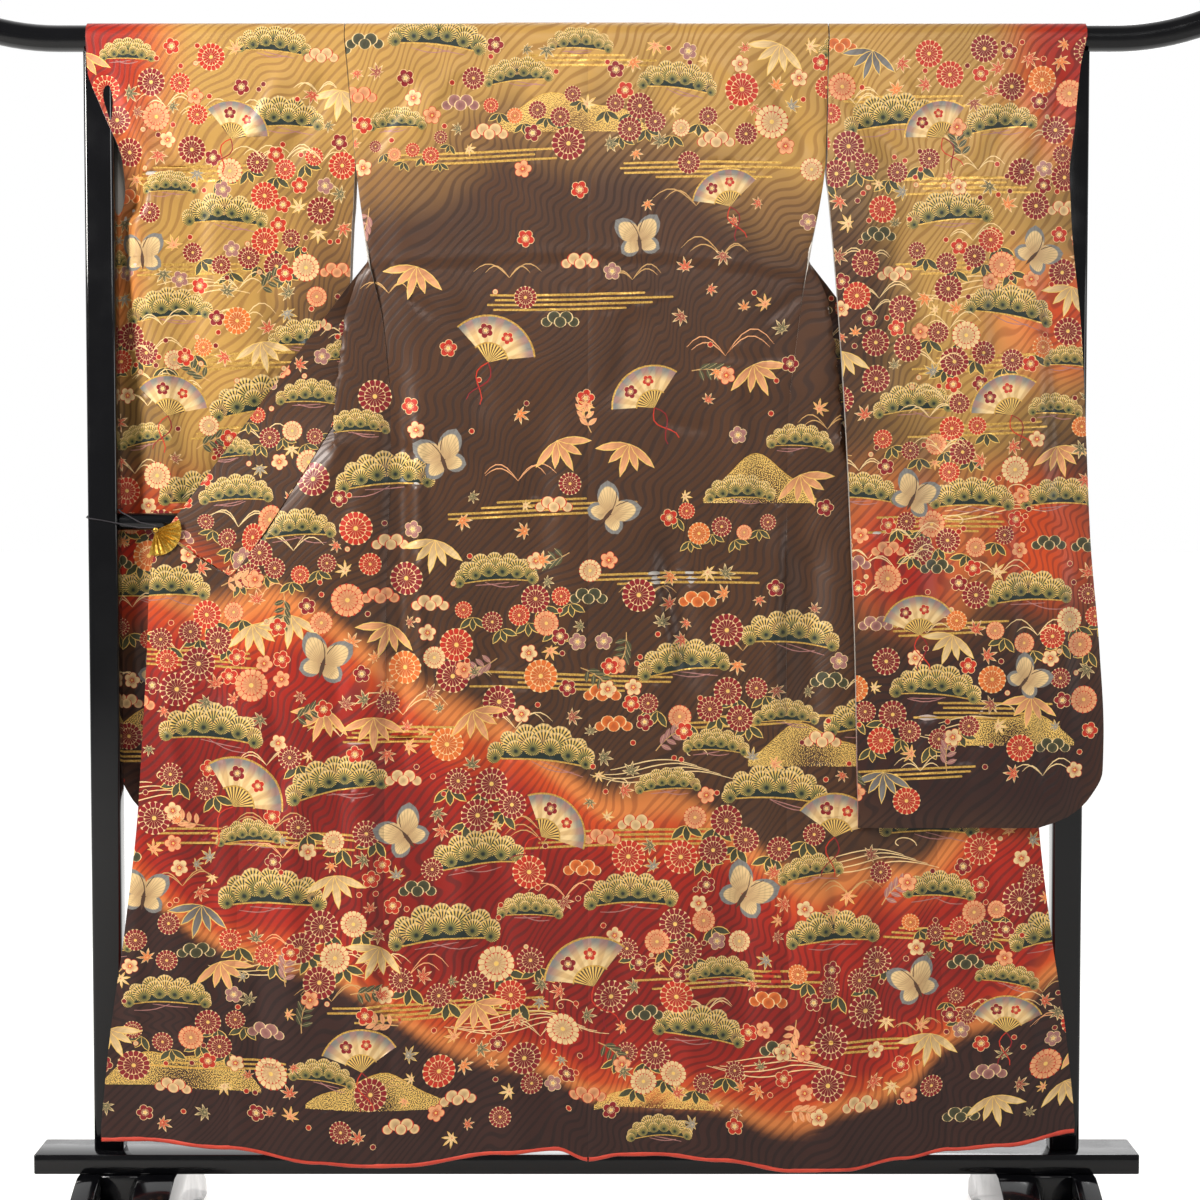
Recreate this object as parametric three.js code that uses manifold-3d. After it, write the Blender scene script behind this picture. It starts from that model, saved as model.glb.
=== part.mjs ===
// A furisode kimono spread open on a lacquered rack, its back to the viewer.
// Millimetres, +Z up, +X to the viewer's right, -Y towards the viewer.
// The origin is on the floor under the middle of the rack.

import * as THREE from 'three';
import { mergeVertices } from 'three/addons/utils/BufferGeometryUtils.js';
import Module from 'manifold-3d';

const wasm = await Module();
wasm.setup();

// ---------- driving sizes ----------
const CLOTH = { wall: 1.8, seamGap: 0.4, centreX: 2 };
const ROD = { radius: 17.5, height: 1619, bendStart: 700, bendRise: 0.00148, sides: 16,
  bentStations: [700, 730, 760, 790, 820, 850, 880] };
const DRAPE = { radius: ROD.radius + 0.6 + CLOTH.wall / 2, arcSteps: 4, topGap: 0.7 };
const BOARD = { length: 1484, depth: 84, bottom: 103.4, top: 130, round: 3 };
const POST = { centreX: 645.5, width: 40, depth: 34, top: 1604, round: 5 };
const SADDLE = { clearance: 0.3, from: 500, to: 690, sides: 24 };
const MID_BAR = { radius: 11.5, height: 978.5, sides: 16 };
const FOOT = {
  plates: [{ name: 'outer', from: 650, to: 681 }, { name: 'inner', from: 600, to: 550 }],
  toe: 232, toePad: 42, toeHeight: 24, toeEase: 4, toeEaseHeight: 5, toeLean: 3, archHeight: 46, archReach: 120,
  neck: 58, toePull: [40, 22], neckPull: [62, 16], block: { inset: 8, height: 44, round: 3 },
};
const CONTACT_GAP = 0.3;
// The roll's two ends keep endGap clear of the centre seam and of the free edge, whose lowest row is bottomZ;
// depthGain brings it to the front's depth before its outer end.
const HEM_ROLL = { radius: 2, gap: 1.3, sides: 6, stations: 22, endGap: 1, bottomZ: 145, depthGain: 1.4 };
const FAN = { pivotX: 574, pivotY: -31.2, pivotZ: 968, radius: 34, pleats: 9,
  pleatDepth: 1.8, firstAngle: 24, lastAngle: -106, inner: 5 };
const THREAD = { radius: 0.8, sides: 6, loopFront: 977, loopBack: 995, clearance: 1.3 };

// ---------- shape tables, a row for each level from the top down ----------
// The body's outer edge on each side: shoulder seam, then the open slit under the arm, then the side seam.
const BODY_EDGE = [
  { z: 1619, left: -319.0, right: 319.5 },
  { z: 1540, left: -312.5, right: 318.0 },
  { z: 1453, left: -305.0, right: 316.0 },
  { z: 1400, left: -299.0, right: 309.0 },
  { z: 1327, left: -287.0, right: 293.0 },
  { z: 1232, left: -268.0, right: 280.0 },
  { z: 1107, left: -260.0, right: 267.0 },
  { z: 875, left: -267.0, right: 265.5 },
  { z: 608, left: -269.0, right: 266.0 },
  { z: 437, left: -272.0, right: 269.0 },
  { z: 145, left: -281.0, right: 277.0 },
];
// Depth of the back at its centre seam and at its outer edge.
const BACK_DEPTH = [
  { z: 1619, centre: -19.0, edge: -19.0 },
  { z: 1540, centre: -21.5, edge: -20.0 },
  { z: 1453, centre: -24.0, edge: -22.0 },
  { z: 1327, centre: -27.0, edge: -26.0 },
  { z: 1107, centre: -31.5, edge: -31.0 },
  { z: 905, centre: -35.0, edge: -34.0 },
  { z: 674, centre: -42.0, edge: -42.0 },
  { z: 437, centre: -48.5, edge: -48.0 },
  { z: 145, centre: -54.5, edge: -54.0 },
];
// Each front runs from its outer edge over a crease and a hidden tuck to the seam that joins
// the collar above and the overlap panel below; X is measured outwards on either side.
const FRONT_ROWS = [
  { z: 1619, edgeGap: 0.2, edgeY: 19, creaseX: 285, creaseY: 19, tuckX: 225, tuckY: 19, joinX: 130, joinY: 19 },
  { z: 1540, edgeGap: 0.2, edgeY: 19, creaseX: 275, creaseY: 24, tuckX: 225, tuckY: 18, joinX: 185, joinY: 22 },
  { z: 1490, edgeGap: 0.2, edgeY: 14, creaseX: 262, creaseY: 24, tuckX: 206, tuckY: 15, joinX: 172, joinY: 26 },
  { z: 1453, edgeGap: 0.2, edgeY: 6, creaseX: 250, creaseY: 20, tuckX: 190, tuckY: 10, joinX: 166, joinY: 28 },
  { z: 1400, edgeGap: 0.6, edgeY: -6, creaseX: 245, creaseY: 10, tuckX: 158, tuckY: 8, joinX: 190, joinY: 30 },
  { z: 1327, edgeGap: 1.5, edgeY: -26, creaseX: 289, creaseY: -16, tuckX: 155, tuckY: 6, joinX: 228, joinY: 26 },
  { z: 1290, edgeGap: 0.7, edgeY: -27, creaseX: 312, creaseY: -23, tuckX: 175, tuckY: 2, joinX: 245, joinY: 14 },
  { z: 1232, edgeGap: 0.2, edgeY: -28.5, creaseX: 326, creaseY: -30, tuckX: 212, tuckY: -7, joinX: 275, joinY: -1 },
  { z: 1190, edgeGap: 0.2, edgeY: -29.5, creaseX: 331, creaseY: -31, tuckX: 245, tuckY: -13, joinX: 297, joinY: -7 },
  { z: 1140, edgeGap: 0.2, edgeY: -30.5, creaseX: 337, creaseY: -32, tuckX: 280, tuckY: -18, joinX: 320, joinY: -12 },
  { z: 1107, edgeGap: 0.2, edgeY: -31, creaseX: 338, creaseY: -32, tuckX: 309, tuckY: -22, joinX: 340, joinY: -17 },
  { z: 1075, edgeGap: 0.2, edgeY: -31.5, creaseX: 335, creaseY: -33, tuckX: 341, tuckY: -28, joinX: 358, joinY: -23 },
  { z: 1000, edgeGap: 0.2, edgeY: -33, creaseX: 315, creaseY: -34, tuckX: 362, tuckY: -34, joinX: 406, joinY: -31 },
  { z: 965, edgeGap: 0.2, edgeY: -33.5, creaseX: 322, creaseY: -36, tuckX: 375, tuckY: -35, joinX: 427, joinY: -32 },
  { z: 905, edgeGap: 0.2, edgeY: -34, creaseX: 335, creaseY: -38, tuckX: 405, tuckY: -37, joinX: 473, joinY: -34 },
  { z: 836, edgeGap: 0.2, edgeY: -37, creaseX: 332, creaseY: -40, tuckX: 397, tuckY: -40, joinX: 461, joinY: -38 },
  { z: 674, edgeGap: 0.2, edgeY: -42, creaseX: 333, creaseY: -45, tuckX: 397, tuckY: -45, joinX: 462, joinY: -43 },
  { z: 437, edgeGap: 0.2, edgeY: -48, creaseX: 338, creaseY: -50, tuckX: 404, tuckY: -50, joinX: 469, joinY: -48 },
  { z: 145, edgeGap: 0.2, edgeY: -54, creaseX: 348, creaseY: -55, tuckX: 414, tuckY: -55, joinX: 481, joinY: -54 },
];
// The free edge: the collar's fold down to the clip, then the front edge of the overlap panel.
const FREE_EDGE = [
  { z: 1540, x: 134, y: 34 },
  { z: 1490, x: 171, y: 56 },
  { z: 1453, x: 199, y: 62 },
  { z: 1400, x: 239, y: 52 },
  { z: 1327, x: 293, y: 8 },
  { z: 1290, x: 320, y: -12 },
  { z: 1232, x: 364, y: -14 },
  { z: 1107, x: 457, y: -18 },
  { z: 1000, x: 537, y: -23 },
  { z: 965, x: 563, y: -25 },
  { z: 933, x: 577, y: -27 },
  { z: 899, x: 583, y: -29 },
  { z: 808, x: 586, y: -35 },
  { z: 674, x: 594, y: -40 },
  { z: 571, x: 601, y: -43 },
  { z: 437, x: 617, y: -47 },
  { z: 283, x: 638, y: -50 },
  { z: 145, x: 651, y: -53 },
];
// The collar round the back of the neck: its seam lies over the rod, at an angle from the rod's
// top, and its free edge hangs behind.
const NECK_ROWS = [
  { seamX: 0.2, angle: 2.1, freeX: 0.2, freeY: 20, freeZ: 1583 },
  { seamX: 60, angle: 2.1, freeX: 50, freeY: 20, freeZ: 1583 },
  { seamX: 108, angle: 2.1, freeX: 84, freeY: 20.5, freeZ: 1580 },
  { seamX: 129, angle: 2.1, freeX: 98, freeY: 21, freeZ: 1575 },
  { seamX: 129, angle: 24, freeX: 102, freeY: 21.5, freeZ: 1572 },
  { seamX: 129, angle: 46, freeX: 107, freeY: 22.5, freeZ: 1568 },
  { seamX: 129, angle: 68, freeX: 113, freeY: 24, freeZ: 1564 },
  { seamX: 129, angle: 90, freeX: 118, freeY: 26, freeZ: 1559 },
];
const COLLAR_LIFT = 1.4;
// How far the collar's seam stands off a bend in the cloth, as a share of the wall.
const COLLAR_BEND_SHARE = 0.7;
// Where the collar's free edge lies beside the first two level rows of its seam.
const NECK_TURN = [{ freeX: 124, freeY: 29, freeZ: 1553 }, { freeX: 129, freeY: 32, freeZ: 1547 }];
// The collar's lower end is cut on a slant that begins at slantZ.
const COLLAR_END = { seamZ: 905, freeZ: 965, slantZ: 1000 };
const HEM_HEIGHT = [
  { x: -655, z: 151 }, { x: -596, z: 151 }, { x: -480, z: 141 }, { x: -362, z: 120 }, { x: -300, z: 115 },
  { x: -245, z: 116 }, { x: -113, z: 134 }, { x: -40, z: 139 }, { x: 2, z: 124 }, { x: 45, z: 131 },
  { x: 91, z: 132 }, { x: 177, z: 124 }, { x: 272, z: 109 }, { x: 347, z: 111 }, { x: 422, z: 126 },
  { x: 483, z: 138 }, { x: 558, z: 144 }, { x: 655, z: 162 },
];
const HEM_BLEND_TOP = 420;

// Sleeves: inner edge, then the outer edge and depth of the front and rear layers; the last
// two depths of a layer are at its middle and at its outer edge.
const LEFT_SLEEVE = {
  side: 'left', direction: -1, cuffEnd: 1396, curlStart: 0.88, curlEnd: 0.955,
  rows: [
    { z: 1619, inner: 320, frontX: 661, frontY: -19, frontEdge: -19, rearX: 661, rearY: 19, rearEdge: 19 },
    { z: 1576, inner: 316, frontX: 659, frontY: -19.6, frontEdge: -19.3, rearX: 658, rearY: 20, rearEdge: 20 },
    { z: 1530, inner: 312, frontX: 643, frontY: -20, frontEdge: -19.3, rearX: 655, rearY: 22, rearEdge: 22 },
    { z: 1499, inner: 309.5, frontX: 630, frontY: -20, frontEdge: -19.3, rearX: 652, rearY: 23, rearEdge: 23 },
    { z: 1478, inner: 308, frontX: 621, frontY: -19.5, frontEdge: -15, rearX: 650, rearY: 24, rearEdge: 24 },
    { z: 1453, inner: 306, frontX: 616, frontY: -19, frontEdge: -5, rearX: 648, rearY: 25, rearEdge: 25 },
    { z: 1425, inner: 307.5, frontX: 615, frontY: -17.5, frontEdge: 8, rearX: 644, rearY: 26, rearEdge: 25.5 },
    { z: 1396, inner: 309, frontX: 620, frontY: -15, frontEdge: 18.5, rearX: 640, rearY: 27, rearEdge: 24.5 },
    { z: 1375, inner: 311, frontX: 636, frontY: -13, frontEdge: 20.5, rearX: 637, rearY: 27.5, rearEdge: 23.5 },
    { z: 1287, inner: 315, frontX: 637, frontY: -5, frontEdge: 20.5, rearX: 637, rearY: 29, rearEdge: 23.5 },
    { z: 1200, inner: 317, frontX: 637, frontY: 2, frontEdge: 21, rearX: 637, rearY: 31, rearEdge: 24 },
    { z: 1100, inner: 318, frontX: 637, frontY: 9, frontEdge: 21.5, rearX: 637, rearY: 33, rearEdge: 24.5 },
    { z: 990, inner: 319, frontX: 636, frontY: 15, frontEdge: 22, rearX: 636, rearY: 35, rearEdge: 25 },
    { z: 860, inner: 320, frontX: 636, frontY: 18, frontEdge: 23, rearX: 636, rearY: 36, rearEdge: 26 },
    { z: 720, inner: 321, frontX: 636, frontY: 20, frontEdge: 24, rearX: 636, rearY: 36, rearEdge: 27 },
    { z: 640, inner: 322, frontX: 634, frontY: 21, frontEdge: 24.5, rearX: 634, rearY: 35, rearEdge: 27.5 },
    { z: 606, inner: 322, frontX: 620, frontY: 22, frontEdge: 25, rearX: 620, rearY: 33, rearEdge: 28 },
    { z: 584, inner: 322, frontX: 600, frontY: 23.5, frontEdge: 25, rearX: 600, rearY: 31, rearEdge: 28 },
    { z: 571, inner: 322, frontX: 565, frontY: 24.5, frontEdge: 25.5, rearX: 565, rearY: 28.5, rearEdge: 28.5 },
  ],
};
const RIGHT_SLEEVE = {
  side: 'right', direction: 1, cuffEnd: 1372, curlStart: 0.8, curlEnd: 1,
  rows: [
    { z: 1619, inner: 321, frontX: 661, frontY: -19, frontEdge: -19, rearX: 661, rearY: 19, rearEdge: 19 },
    { z: 1584, inner: 320, frontX: 653, frontY: -20.5, frontEdge: -19.5, rearX: 655, rearY: 19.5, rearEdge: 19.5 },
    { z: 1557, inner: 319, frontX: 650, frontY: -22, frontEdge: -20.5, rearX: 634, rearY: 19.5, rearEdge: 19 },
    { z: 1541, inner: 319, frontX: 648.5, frontY: -23, frontEdge: -21, rearX: 622.5, rearY: 18.5, rearEdge: 18.5 },
    { z: 1525, inner: 319, frontX: 647, frontY: -24, frontEdge: -21.5, rearX: 620, rearY: 15, rearEdge: 16 },
    { z: 1500, inner: 318, frontX: 645, frontY: -26, frontEdge: -22.5, rearX: 618, rearY: 8, rearEdge: 9 },
    { z: 1472, inner: 318, frontX: 641, frontY: -29, frontEdge: -23.5, rearX: 616, rearY: -3, rearEdge: -2 },
    { z: 1441, inner: 316.5, frontX: 638, frontY: -32, frontEdge: -25, rearX: 616, rearY: -13, rearEdge: -11 },
    { z: 1412, inner: 319, frontX: 639, frontY: -35, frontEdge: -26, rearX: 617, rearY: -20, rearEdge: -18.5 },
    { z: 1390, inner: 321, frontX: 640, frontY: -37, frontEdge: -26.5, rearX: 622, rearY: -23, rearEdge: -21.5 },
    { z: 1372, inner: 322.5, frontX: 641, frontY: -38.5, frontEdge: -27, rearX: 640, rearY: -25, rearEdge: -23.5 },
    { z: 1345, inner: 325, frontX: 643, frontY: -40, frontEdge: -28, rearX: 643, rearY: -27, rearEdge: -25 },
    { z: 1232, inner: 334, frontX: 654, frontY: -46, frontEdge: -35, rearX: 654, rearY: -33.5, rearEdge: -32 },
    { z: 1107, inner: 342, frontX: 660, frontY: -52, frontEdge: -41, rearX: 660, rearY: -39, rearEdge: -38 },
    { z: 962, inner: 349, frontX: 666, frontY: -57.5, frontEdge: -47, rearX: 666, rearY: -44.5, rearEdge: -44 },
    { z: 810, inner: 355, frontX: 679, frontY: -61, frontEdge: -52, rearX: 679, rearY: -48, rearEdge: -49 },
    { z: 700, inner: 357.5, frontX: 685, frontY: -63, frontEdge: -56, rearX: 685, rearY: -51, rearEdge: -53 },
    { z: 649, inner: 358.5, frontX: 684, frontY: -63.5, frontEdge: -57.5, rearX: 684, rearY: -52.5, rearEdge: -54.5 },
    { z: 615, inner: 359.5, frontX: 668, frontY: -63, frontEdge: -58, rearX: 668, rearY: -53.5, rearEdge: -55 },
    { z: 590, inner: 360, frontX: 641, frontY: -61.5, frontEdge: -58, rearX: 641, rearY: -54.5, rearEdge: -55 },
    { z: 574, inner: 360, frontX: 600, frontY: -59.5, frontEdge: -58.5, rearX: 600, rearY: -55.5, rearEdge: -55.5 },
  ],
};
// Rows of a sleeve's skin stand at most about rowStep apart; the bag's hollow runs past its inner
// edge and its open cuff, by the lengths of cut, so that both come out open.
const SLEEVE_SKIN = { rowStep: 100, arcPoints: 8, cut: { inner: 12, open: 24 } };
const SLEEVE_COLUMNS = [0, 0.2, 0.4, 0.6, 0.78, 0.88, 0.905, 0.93, 0.955, 1];

// The largest folds of the hanging body: soft troughs (depth away from the viewer) and
// ridges (negative depth), each along a line from one point to another.
const BODY_FOLDS = [
  { fromX: -246, fromZ: 1240, toX: -243, toZ: 560, width: 16, depth: 5 },
  { fromX: -284, fromZ: 900, toX: -292, toZ: 240, width: 22, depth: -4 },
  { fromX: 100, fromZ: 990, toX: 160, toZ: 740, width: 22, depth: 5 },
  { fromX: 300, fromZ: 1060, toX: 296, toZ: 620, width: 26, depth: 6 },
  { fromX: -540, fromZ: 930, toX: -460, toZ: 700, width: 18, depth: 5 },
  { fromX: 540, fromZ: 930, toX: 470, toZ: 650, width: 20, depth: 5 },
  { fromX: -118, fromZ: 900, toX: -104, toZ: 260, width: 24, depth: 4 },
  { fromX: 210, fromZ: 640, toX: 214, toZ: 220, width: 24, depth: 4 },
  { fromX: -380, fromZ: 700, toX: -392, toZ: 240, width: 22, depth: -4 },
  { fromX: 390, fromZ: 640, toX: 384, toZ: 200, width: 22, depth: 4 },
];
const FOLD_END_FADE = 0.22;
// The fronts take the folds below FOLD_START, and beside their side seam below SEAM_FOLD.top.
const FOLD_START = 1000;
const FOLD_RAMP = 80;
const SEAM_FOLD = { top: 1290, fade: 60, reach: 40, share: 0.3 };

// ---------- interpolation ----------
function limitedSlope(before, here, after, key) {
  const up = before === here ? null : (here[key] - before[key]) / (before.z - here.z);
  const down = after === here ? null : (after[key] - here[key]) / (here.z - after.z);
  if (up === null) return down;
  if (down === null) return up;
  return up * down <= 0 ? 0 : (2 * up * down) / (up + down);
}

// Every column of a table at one level, by a curve that never overshoots its rows.
function rowAt(rows, z) {
  const last = rows.length - 1;
  const level = Math.min(Math.max(z, rows[last].z), rows[0].z);
  let i = 0;
  while (i < last - 1 && rows[i + 1].z > level) i += 1;
  const above = rows[i];
  const below = rows[i + 1];
  const before = rows[Math.max(i - 1, 0)];
  const after = rows[Math.min(i + 2, last)];
  const span = above.z - below.z;
  const t = (above.z - level) / span;
  const result = {};
  for (const key of Object.keys(above)) {
    const startSlope = limitedSlope(before, above, below, key) * span;
    const endSlope = limitedSlope(above, below, after, key) * span;
    const rise = below[key] - above[key];
    result[key] = above[key] + t * (startSlope
      + t * (3 * rise - 2 * startSlope - endSlope + t * (startSlope + endSlope - 2 * rise)));
  }
  result.z = level;
  return result;
}

const lerp = (a, b, t) => a + (b - a) * t;
const smoothStep = (t) => {
  const s = Math.min(Math.max(t, 0), 1);
  return s * s * (3 - 2 * s);
};

function hemHeight(x) {
  const rows = HEM_HEIGHT;
  let i = 0;
  while (i < rows.length - 2 && rows[i + 1].x < x) i += 1;
  return lerp(rows[i].z, rows[i + 1].z, smoothStep((x - rows[i].x) / (rows[i + 1].x - rows[i].x)));
}

function foldDepth(folds, x, z) {
  let depth = 0;
  for (const fold of folds) {
    const dx = fold.toX - fold.fromX;
    const dz = fold.toZ - fold.fromZ;
    const along = ((x - fold.fromX) * dx + (z - fold.fromZ) * dz) / (dx * dx + dz * dz);
    const away = ((x - fold.fromX) * dz - (z - fold.fromZ) * dx) / Math.hypot(dx, dz);
    const fade = smoothStep(along / FOLD_END_FADE) * smoothStep((1 - along) / FOLD_END_FADE);
    depth += fold.depth * fade * Math.exp(-((away / fold.width) ** 2));
  }
  return depth;
}

// ---------- solids ----------
function closedSolid(positions, triangles) {
  let geometry = new THREE.BufferGeometry();
  geometry.setAttribute('position', new THREE.Float32BufferAttribute(positions, 3));
  geometry.setIndex(triangles);
  geometry = mergeVertices(geometry, 1e-3);
  const place = geometry.attributes.position;
  const index = Array.from(geometry.index.array);
  const a = new THREE.Vector3();
  const b = new THREE.Vector3();
  const c = new THREE.Vector3();
  let volume = 0;
  const kept = [];
  for (let i = 0; i < index.length; i += 3) {
    const [p, q, r] = index.slice(i, i + 3);
    if (p === q || q === r || r === p) continue;
    a.fromBufferAttribute(place, p);
    b.fromBufferAttribute(place, q);
    c.fromBufferAttribute(place, r);
    volume += a.dot(b.clone().cross(c));
    kept.push(p, q, r);
  }
  if (volume < 0) {
    for (let i = 0; i < kept.length; i += 3) [kept[i + 1], kept[i + 2]] = [kept[i + 2], kept[i + 1]];
  }
  geometry.setIndex(kept);
  return geometry;
}

// A wall of even thickness on both sides of a grid of points.
function clothWall(grid) {
  const rows = grid.length;
  const columns = grid[0].length;
  const positions = [];
  const id = (face, i, j) => (face * rows + i) * columns + j;
  for (const side of [-0.5, 0.5]) {
    for (let i = 0; i < rows; i += 1) {
      for (let j = 0; j < columns; j += 1) {
        const down = grid[Math.min(i + 1, rows - 1)][j].clone().sub(grid[Math.max(i - 1, 0)][j]);
        const across = grid[i][Math.min(j + 1, columns - 1)].clone().sub(grid[i][Math.max(j - 1, 0)]);
        const point = down.cross(across).normalize().multiplyScalar(side * CLOTH.wall).add(grid[i][j]);
        positions.push(point.x, point.y, point.z);
      }
    }
  }
  const triangles = [];
  const quad = (p, q, r, s) => triangles.push(p, q, r, p, r, s);
  for (let i = 0; i < rows - 1; i += 1) {
    for (let j = 0; j < columns - 1; j += 1) {
      quad(id(0, i, j), id(0, i, j + 1), id(0, i + 1, j + 1), id(0, i + 1, j));
      quad(id(1, i, j), id(1, i + 1, j), id(1, i + 1, j + 1), id(1, i, j + 1));
    }
    quad(id(0, i, 0), id(0, i + 1, 0), id(1, i + 1, 0), id(1, i, 0));
    quad(id(0, i + 1, columns - 1), id(0, i, columns - 1), id(1, i, columns - 1), id(1, i + 1, columns - 1));
  }
  for (let j = 0; j < columns - 1; j += 1) {
    quad(id(0, 0, j + 1), id(0, 0, j), id(1, 0, j), id(1, 0, j + 1));
    quad(id(0, rows - 1, j), id(0, rows - 1, j + 1), id(1, rows - 1, j + 1), id(1, rows - 1, j));
  }
  return closedSolid(positions, triangles);
}

// A closed skin over rings of equal point count, with a flat strip or fan at each end.
function loft(rings, endFaces) {
  const count = rings[0].length;
  const positions = rings.flat().flatMap((point) => [point.x, point.y, point.z]);
  const triangles = [];
  for (let i = 0; i < rings.length - 1; i += 1) {
    for (let j = 0; j < count; j += 1) {
      const next = (j + 1) % count;
      const a = i * count + j;
      const b = i * count + next;
      const c = (i + 1) * count + next;
      const d = (i + 1) * count + j;
      triangles.push(a, b, c, a, c, d);
    }
  }
  const lastRing = (rings.length - 1) * count;
  for (const [p, q, r] of endFaces) {
    triangles.push(p, r, q);
    triangles.push(lastRing + p, lastRing + q, lastRing + r);
  }
  return closedSolid(positions, triangles);
}

// End faces for a ring whose two halves run side by side, such as a sleeve's front and rear layers.
function ladderFaces(count) {
  const faces = [];
  for (let j = 0; j < count / 2 - 1; j += 1) {
    const p = j;
    const q = j + 1;
    const r = count - 2 - j;
    const s = count - 1 - j;
    faces.push([p, q, r], [p, r, s]);
  }
  return faces.filter(([p, q, r]) => p !== q && q !== r && r !== p);
}

function fanFaces(count) {
  return Array.from({ length: count - 2 }, (_, j) => [0, j + 1, j + 2]);
}

// A round bar or thread through a list of points, its section kept square to the path.
function roundBar(points, radius, sides, closed = false) {
  const total = points.length;
  let up = new THREE.Vector3(0.13, 0.21, 1).normalize();
  const rings = points.map((point, i) => {
    const before = points[closed ? (i + total - 1) % total : Math.max(i - 1, 0)];
    const after = points[closed ? (i + 1) % total : Math.min(i + 1, total - 1)];
    const along = after.clone().sub(before).normalize();
    if (Math.abs(along.dot(up)) > 0.98) up = new THREE.Vector3(1, 0.2, 0).normalize();
    const side = along.clone().cross(up).normalize();
    up = side.clone().cross(along).normalize();
    return Array.from({ length: sides }, (_, k) => {
      const angle = ((k + 0.5) / sides) * Math.PI * 2;
      return point.clone()
        .addScaledVector(side, radius * Math.cos(angle))
        .addScaledVector(up, radius * Math.sin(angle));
    });
  });
  return loft(rings, fanFaces(sides));
}

function toManifold(geometry) {
  return new wasm.Manifold(new wasm.Mesh({
    numProp: 3,
    vertProperties: Float32Array.from(geometry.attributes.position.array),
    triVerts: Uint32Array.from(geometry.index.array),
  }));
}

function toGeometry(manifold) {
  const mesh = manifold.getMesh();
  return closedSolid(Array.from(mesh.vertProperties), Array.from(mesh.triVerts));
}

const positionOnly = (geometry) => {
  geometry.deleteAttribute('normal');
  geometry.deleteAttribute('uv');
  return mergeVertices(geometry, 1e-3);
};

// ---------- materials ----------
const silk = (color) => new THREE.MeshStandardMaterial({ color, roughness: 0.55, metalness: 0, side: THREE.DoubleSide });
const MATERIALS = {
  back: silk(0x5a3d2a),
  front: silk(0x8e3a22),
  sleeve: silk(0xb8873c),
  collar: silk(0x6a4632),
  hem: silk(0xd0462a),
  lacquer: new THREE.MeshStandardMaterial({ color: 0x0b0c11, roughness: 0.18, metalness: 0 }),
  gilt: new THREE.MeshStandardMaterial({ color: 0xc9a13b, roughness: 0.3, metalness: 1 }),
  thread: new THREE.MeshStandardMaterial({ color: 0x15141a, roughness: 0.8, metalness: 0 }),
};

const group = new THREE.Group();
function add(name, geometry, material) {
  const mesh = new THREE.Mesh(geometry, material);
  mesh.name = name;
  group.add(mesh);
}

// ---------- body cloth ----------
const SIDES = [{ name: 'left', direction: -1 }, { name: 'right', direction: 1 }];
const outward = (side, distance) => CLOTH.centreX + side.direction * distance;
const bodyEdgeX = (side, z) => rowAt(BODY_EDGE, z)[side.name];

const PANEL_COLUMNS = { back: 8, front: 13, collar: 8, overlap: 7 };
// Levels of a hanging panel: an arc over the rod, then straight down to the hem.
const PANEL_LEVELS = [1598, 1570, 1540, 1505, 1475, 1440, 1405, 1375, 1350, 1325, 1305, 1280, 1245,
  1205, 1165, 1125, 1090, 1050, 1000, 953, 905, 850, 770, 674, 570, 480, 380, 280, 200, 130];

// The height of a level after its lower rows are drawn in to the hem's curve.
function drawnHeight(x, level) {
  const lowest = PANEL_LEVELS[PANEL_LEVELS.length - 1];
  if (level >= HEM_BLEND_TOP) return level;
  const bottom = hemHeight(x) + 2 * HEM_ROLL.radius + HEM_ROLL.gap;
  return lerp(bottom, HEM_BLEND_TOP, (level - lowest) / (HEM_BLEND_TOP - lowest));
}

// The arc over the rod on one side of its top (facing is -1 towards the viewer).
function rodArc(x, facing) {
  const first = DRAPE.topGap / DRAPE.radius;
  return Array.from({ length: DRAPE.arcSteps + 1 }, (_, i) => {
    const angle = lerp(first, Math.PI / 2, i / DRAPE.arcSteps);
    return new THREE.Vector3(x, facing * DRAPE.radius * Math.sin(angle), ROD.height + DRAPE.radius * Math.cos(angle));
  });
}

function transpose(lines) {
  return lines[0].map((_, i) => lines.map((line) => line[i]));
}

function backPanel(side) {
  const columns = PANEL_COLUMNS.back;
  const lines = Array.from({ length: columns }, (_, j) => {
    const t = j / (columns - 1);
    const xAt = (z) => lerp(CLOTH.centreX + side.direction * CLOTH.seamGap / 2,
      bodyEdgeX(side, z) - side.direction * CLOTH.seamGap / 2, t);
    const line = rodArc(xAt(ROD.height), -1);
    for (const level of PANEL_LEVELS) {
      const x = xAt(level);
      const z = drawnHeight(x, level);
      const depth = rowAt(BACK_DEPTH, z);
      line.push(new THREE.Vector3(x, lerp(depth.centre, depth.edge, smoothStep(t)) + foldDepth(BODY_FOLDS, x, z), z));
    }
    return line;
  });
  return clothWall(transpose(lines));
}

// A smooth curve through the four control columns of a front, at one level.
function frontPoint(side, z, t) {
  const row = rowAt(FRONT_ROWS, z);
  const edgeX = Math.abs(bodyEdgeX(side, z) - CLOTH.centreX) + row.edgeGap;
  const controls = [
    new THREE.Vector3(outward(side, edgeX), row.edgeY, z),
    new THREE.Vector3(outward(side, row.creaseX), row.creaseY, z),
    new THREE.Vector3(outward(side, row.tuckX), row.tuckY, z),
    new THREE.Vector3(outward(side, row.joinX), row.joinY, z),
  ];
  const [, , tuck, join] = controls;
  join.addScaledVector(tuck.clone().sub(join).normalize(), CLOTH.seamGap / 2);
  return new THREE.CatmullRomCurve3(controls, false, 'centripetal').getPoint(t);
}

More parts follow.
